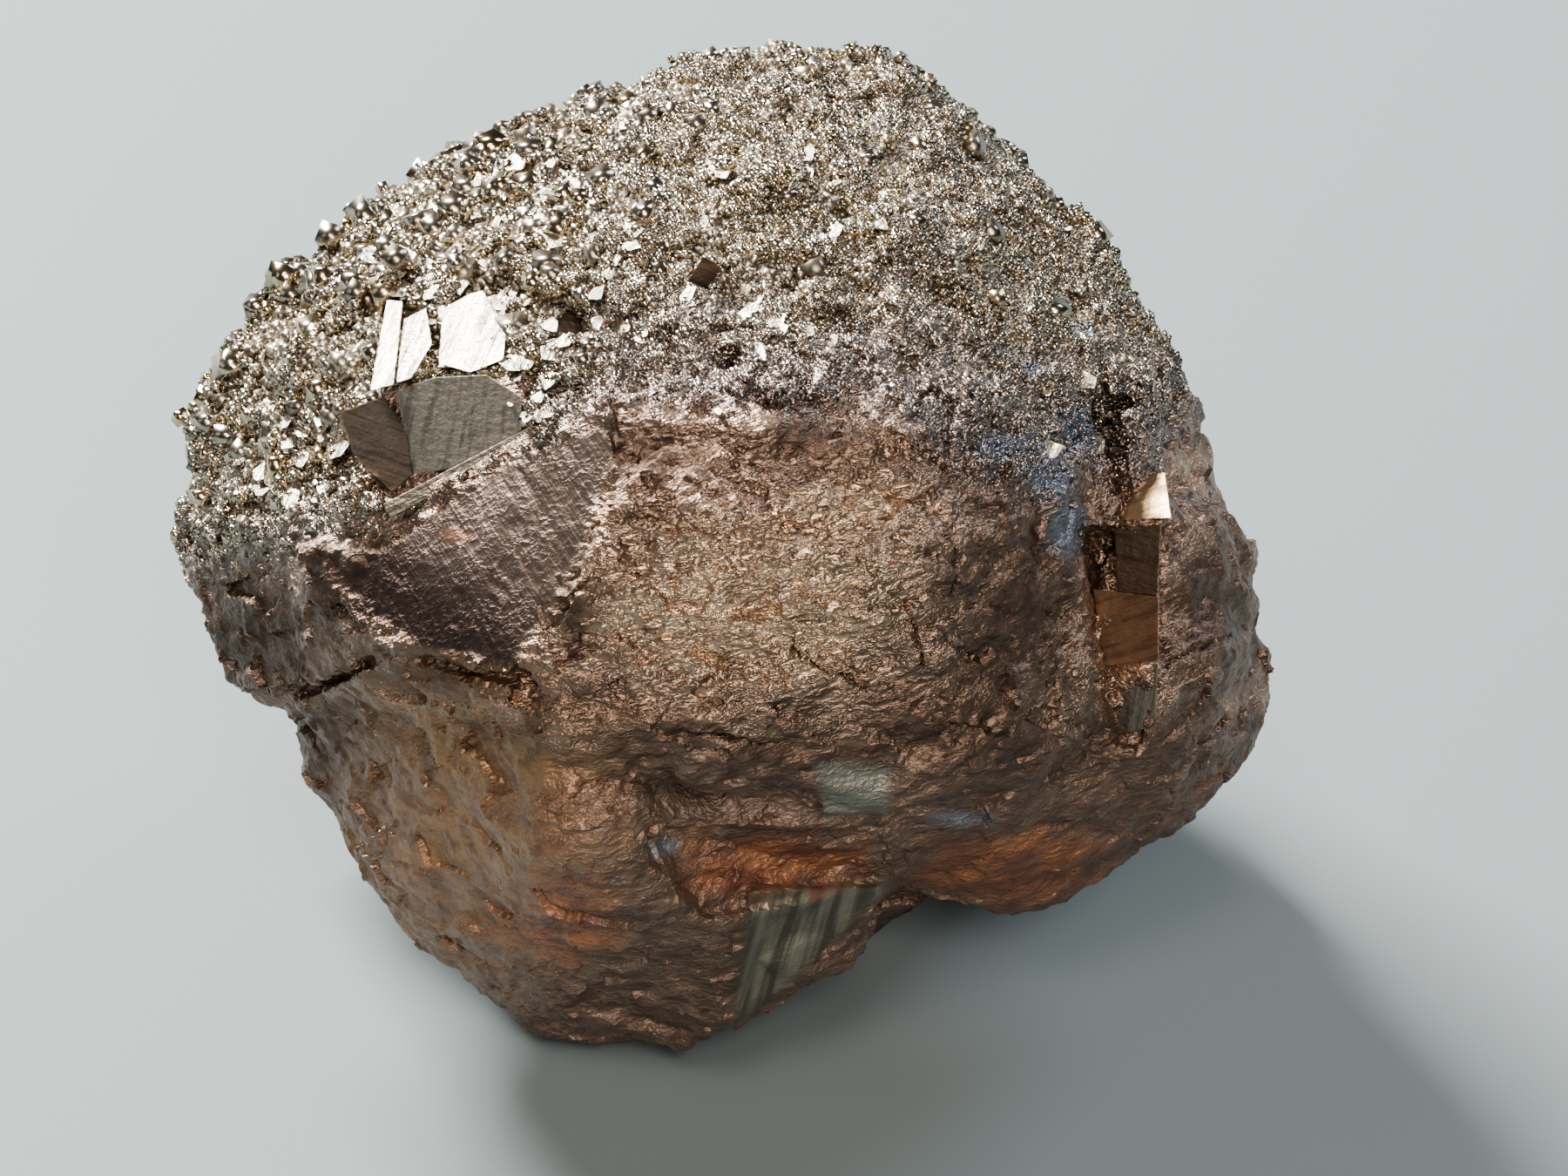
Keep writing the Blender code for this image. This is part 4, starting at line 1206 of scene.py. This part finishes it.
# The fine grains along the border are a reddish grey.
EDGE_DARK = linear("#5d524e")
EDGE_PALE = linear("#b3a5a0")
# The oxide film on a few of them.
BLUE_FILM = linear("#888b96")
ROUGH_DULL_GRAIN, ROUGH_BRIGHT_GRAIN, ROUGH_HOLLOW = 0.26, 0.14, 0.5

fresh, tree, shader = new_material("fresh_pyrite")
on = {
    name: add(tree, "ShaderNodeAttribute", attribute_name=name).outputs["Fac"]
    for name in ("shade", "coarse", "hollow", "blue")
}
patches = add(tree, "ShaderNodeTexNoise", {"Vector": stretched(tree, 4.0, 4.0), "Scale": 1.0, "Detail": 2.0})
blued = add(tree, "ShaderNodeMath", {0: on["blue"], 1: on["shade"]}, operation="MULTIPLY")
# Each of these values is cut off at two levels, and spread from 0 to 1 between them.
LEVELS = {
    "straw": (on["shade"], 0.55, 1.0),
    "inside": (on["coarse"], 0.05, 0.6),
    "silver": (patches.outputs["Fac"], 0.5, 0.7),
    "blue": (blued.outputs[0], 0.2, 0.7),
}
share = {}
for name, (value, low, high) in LEVELS.items():
    inputs = {"Value": value, "From Min": low, "From Max": high}
    share[name] = add(tree, "ShaderNodeMapRange", inputs).outputs["Result"]

silver = coated(tree, SILVER_DARK, (on["shade"], SILVER_PALE))
# Painted shade darkens the grains in the hollows, which are also dull.
shade_and_dust = coated(tree, HOLLOW_SHADE_DARK, (on["shade"], HOLLOW_SHADE_PALE))
edge_grains = coated(tree, EDGE_DARK, (on["shade"], EDGE_PALE))
inside_grains = coated(tree, silver, (share["straw"], STRAW), (on["hollow"], shade_and_dust))
tint = coated(
    tree,
    edge_grains,
    (share["inside"], inside_grains),
    (share["silver"], silver),
    (share["blue"], BLUE_FILM),
)
tree.links.new(tint, shader.inputs["Base Color"])
shader.inputs["Metallic"].default_value = 1.0
polish = [(on["shade"], ROUGH_BRIGHT_GRAIN), (on["hollow"], ROUGH_HOLLOW)]
tree.links.new(coated(tree, ROUGH_DULL_GRAIN, *polish, kind="FLOAT"), shader.inputs["Roughness"])
for piece in grains:
    piece.data.materials.clear()
    piece.data.materials.append(fresh)
print("Grain material has", len(tree.nodes), "nodes")

# %% [markdown]
# ## Put the pieces on the frame
# The lump has no moving parts, so every piece rides on its one body, root. The skin stands for the CAD solid.

# %% Ride the frame
for piece in [skin, *grains, *crystals]:
    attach(piece, "root")
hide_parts("pyrite")
print("Pieces on the frame:", 1 + len(grains) + len(crystals))

# %% [markdown]
# ## Floor
# The lump lies on plain matt paper, pale and a little blue, so that its warm colours stand out.

# %% Lay the floor
FLOOR_SIZE = 3.0
PAPER_BLUE = linear("#5f6b6f")
PAPER_ROUGHNESS = 0.7

bm = bmesh.new()
bmesh.ops.create_grid(bm, x_segments=1, y_segments=1, size=FLOOR_SIZE)
floor = new_piece("floor", bm)
paper, tree, shader = new_material("pale_paper")
shader.inputs["Base Color"].default_value = PAPER_BLUE
shader.inputs["Roughness"].default_value = PAPER_ROUGHNESS
floor.data.materials.append(paper)
print("Floor has", len(floor.data.polygons), "face")

# %% [markdown]
# ## Lights
# Metal shows what it mirrors, so its lights matter more than its colour. The main one is a soft box behind the
# lump and to its left, which makes the grains glint and throws the shadow forwards. A weak cool one at the
# right lifts the far edge. A fill above, a weak one at the left and a warm one in front show the bronze.

# %% Soft boxes and room
# Each box with its place in metres from the lump's middle, its size, its power in watts and its colour.
SOFT_BOXES = {
    "key": ((-0.34, 0.5, 0.42), 0.24, 46.0, "#fffaf2"),
    "rim": ((0.5, 0.45, 0.5), 0.3, 5.0, "#eef4ff"),
    "fill": ((-0.1, -0.5, 0.74), 0.3, 5.0, "#fff0e0"),
    "left": ((-0.8, -0.12, 0.35), 0.4, 0.45, "#eef2f4"),
    "front": ((0.12, -0.7, 0.55), 0.26, 8.0, "#fff1e2"),
}
ROOM_COLOUR = linear("#8f7f75")
ROOM_STRENGTH = 0.13


def soft_box(name, place, size, power, code):
    """A square light that faces the lump's middle."""
    lamp = bpy.data.lights.new(name, "AREA")
    lamp.shape = "SQUARE"
    lamp.size = size
    lamp.energy = power
    lamp.color = linear(code)[:3]
    holder = bpy.data.objects.new(name, lamp)
    bpy.context.scene.collection.objects.link(holder)
    holder.location = LUMP_MIDDLE + Vector(place)
    holder.rotation_mode = "QUATERNION"
    holder.rotation_quaternion = (-Vector(place)).to_track_quat("-Z", "Y")


for name, (place, size, power, code) in SOFT_BOXES.items():
    soft_box(name, place, size, power, code)
world = bpy.data.worlds.new("room")
world.use_nodes = True
world.node_tree.nodes["Background"].inputs["Color"].default_value = ROOM_COLOUR
world.node_tree.nodes["Background"].inputs["Strength"].default_value = ROOM_STRENGTH
bpy.context.scene.world = world
print(len(SOFT_BOXES), "soft boxes around the lump")

# %% [markdown]
# ## Camera
# The camera looks along the front face's own axis from half a metre away. Its lens is worked out so that 21
# pixels cover a millimetre, and a small shift puts the lump where the photograph has it.

# %% Set up the camera
DISTANCE = 0.5
SENSOR_WIDTH = 36.0
PIXELS_PER_MM = 21.0
PHOTO = (1800, 1350)
MIDDLE_PIXEL = (827, 629)

camera = bpy.data.cameras.new("camera")
camera.sensor_width = SENSOR_WIDTH
camera.lens = SENSOR_WIDTH * DISTANCE / (PHOTO[0] / PIXELS_PER_MM * MM)
camera.shift_x = (PHOTO[0] / 2 - MIDDLE_PIXEL[0]) / PHOTO[0]
camera.shift_y = (MIDDLE_PIXEL[1] - PHOTO[1] / 2) / PHOTO[0]
viewer = bpy.data.objects.new("camera", camera)
bpy.context.scene.collection.objects.link(viewer)
viewer.location = LUMP_MIDDLE + OUT_OF_FACE * DISTANCE
viewer.rotation_mode = "QUATERNION"
viewer.rotation_quaternion = (-OUT_OF_FACE).to_track_quat("-Z", "Y")
bpy.context.scene.camera = viewer
print("Lens", round(camera.lens, 1), "mm")
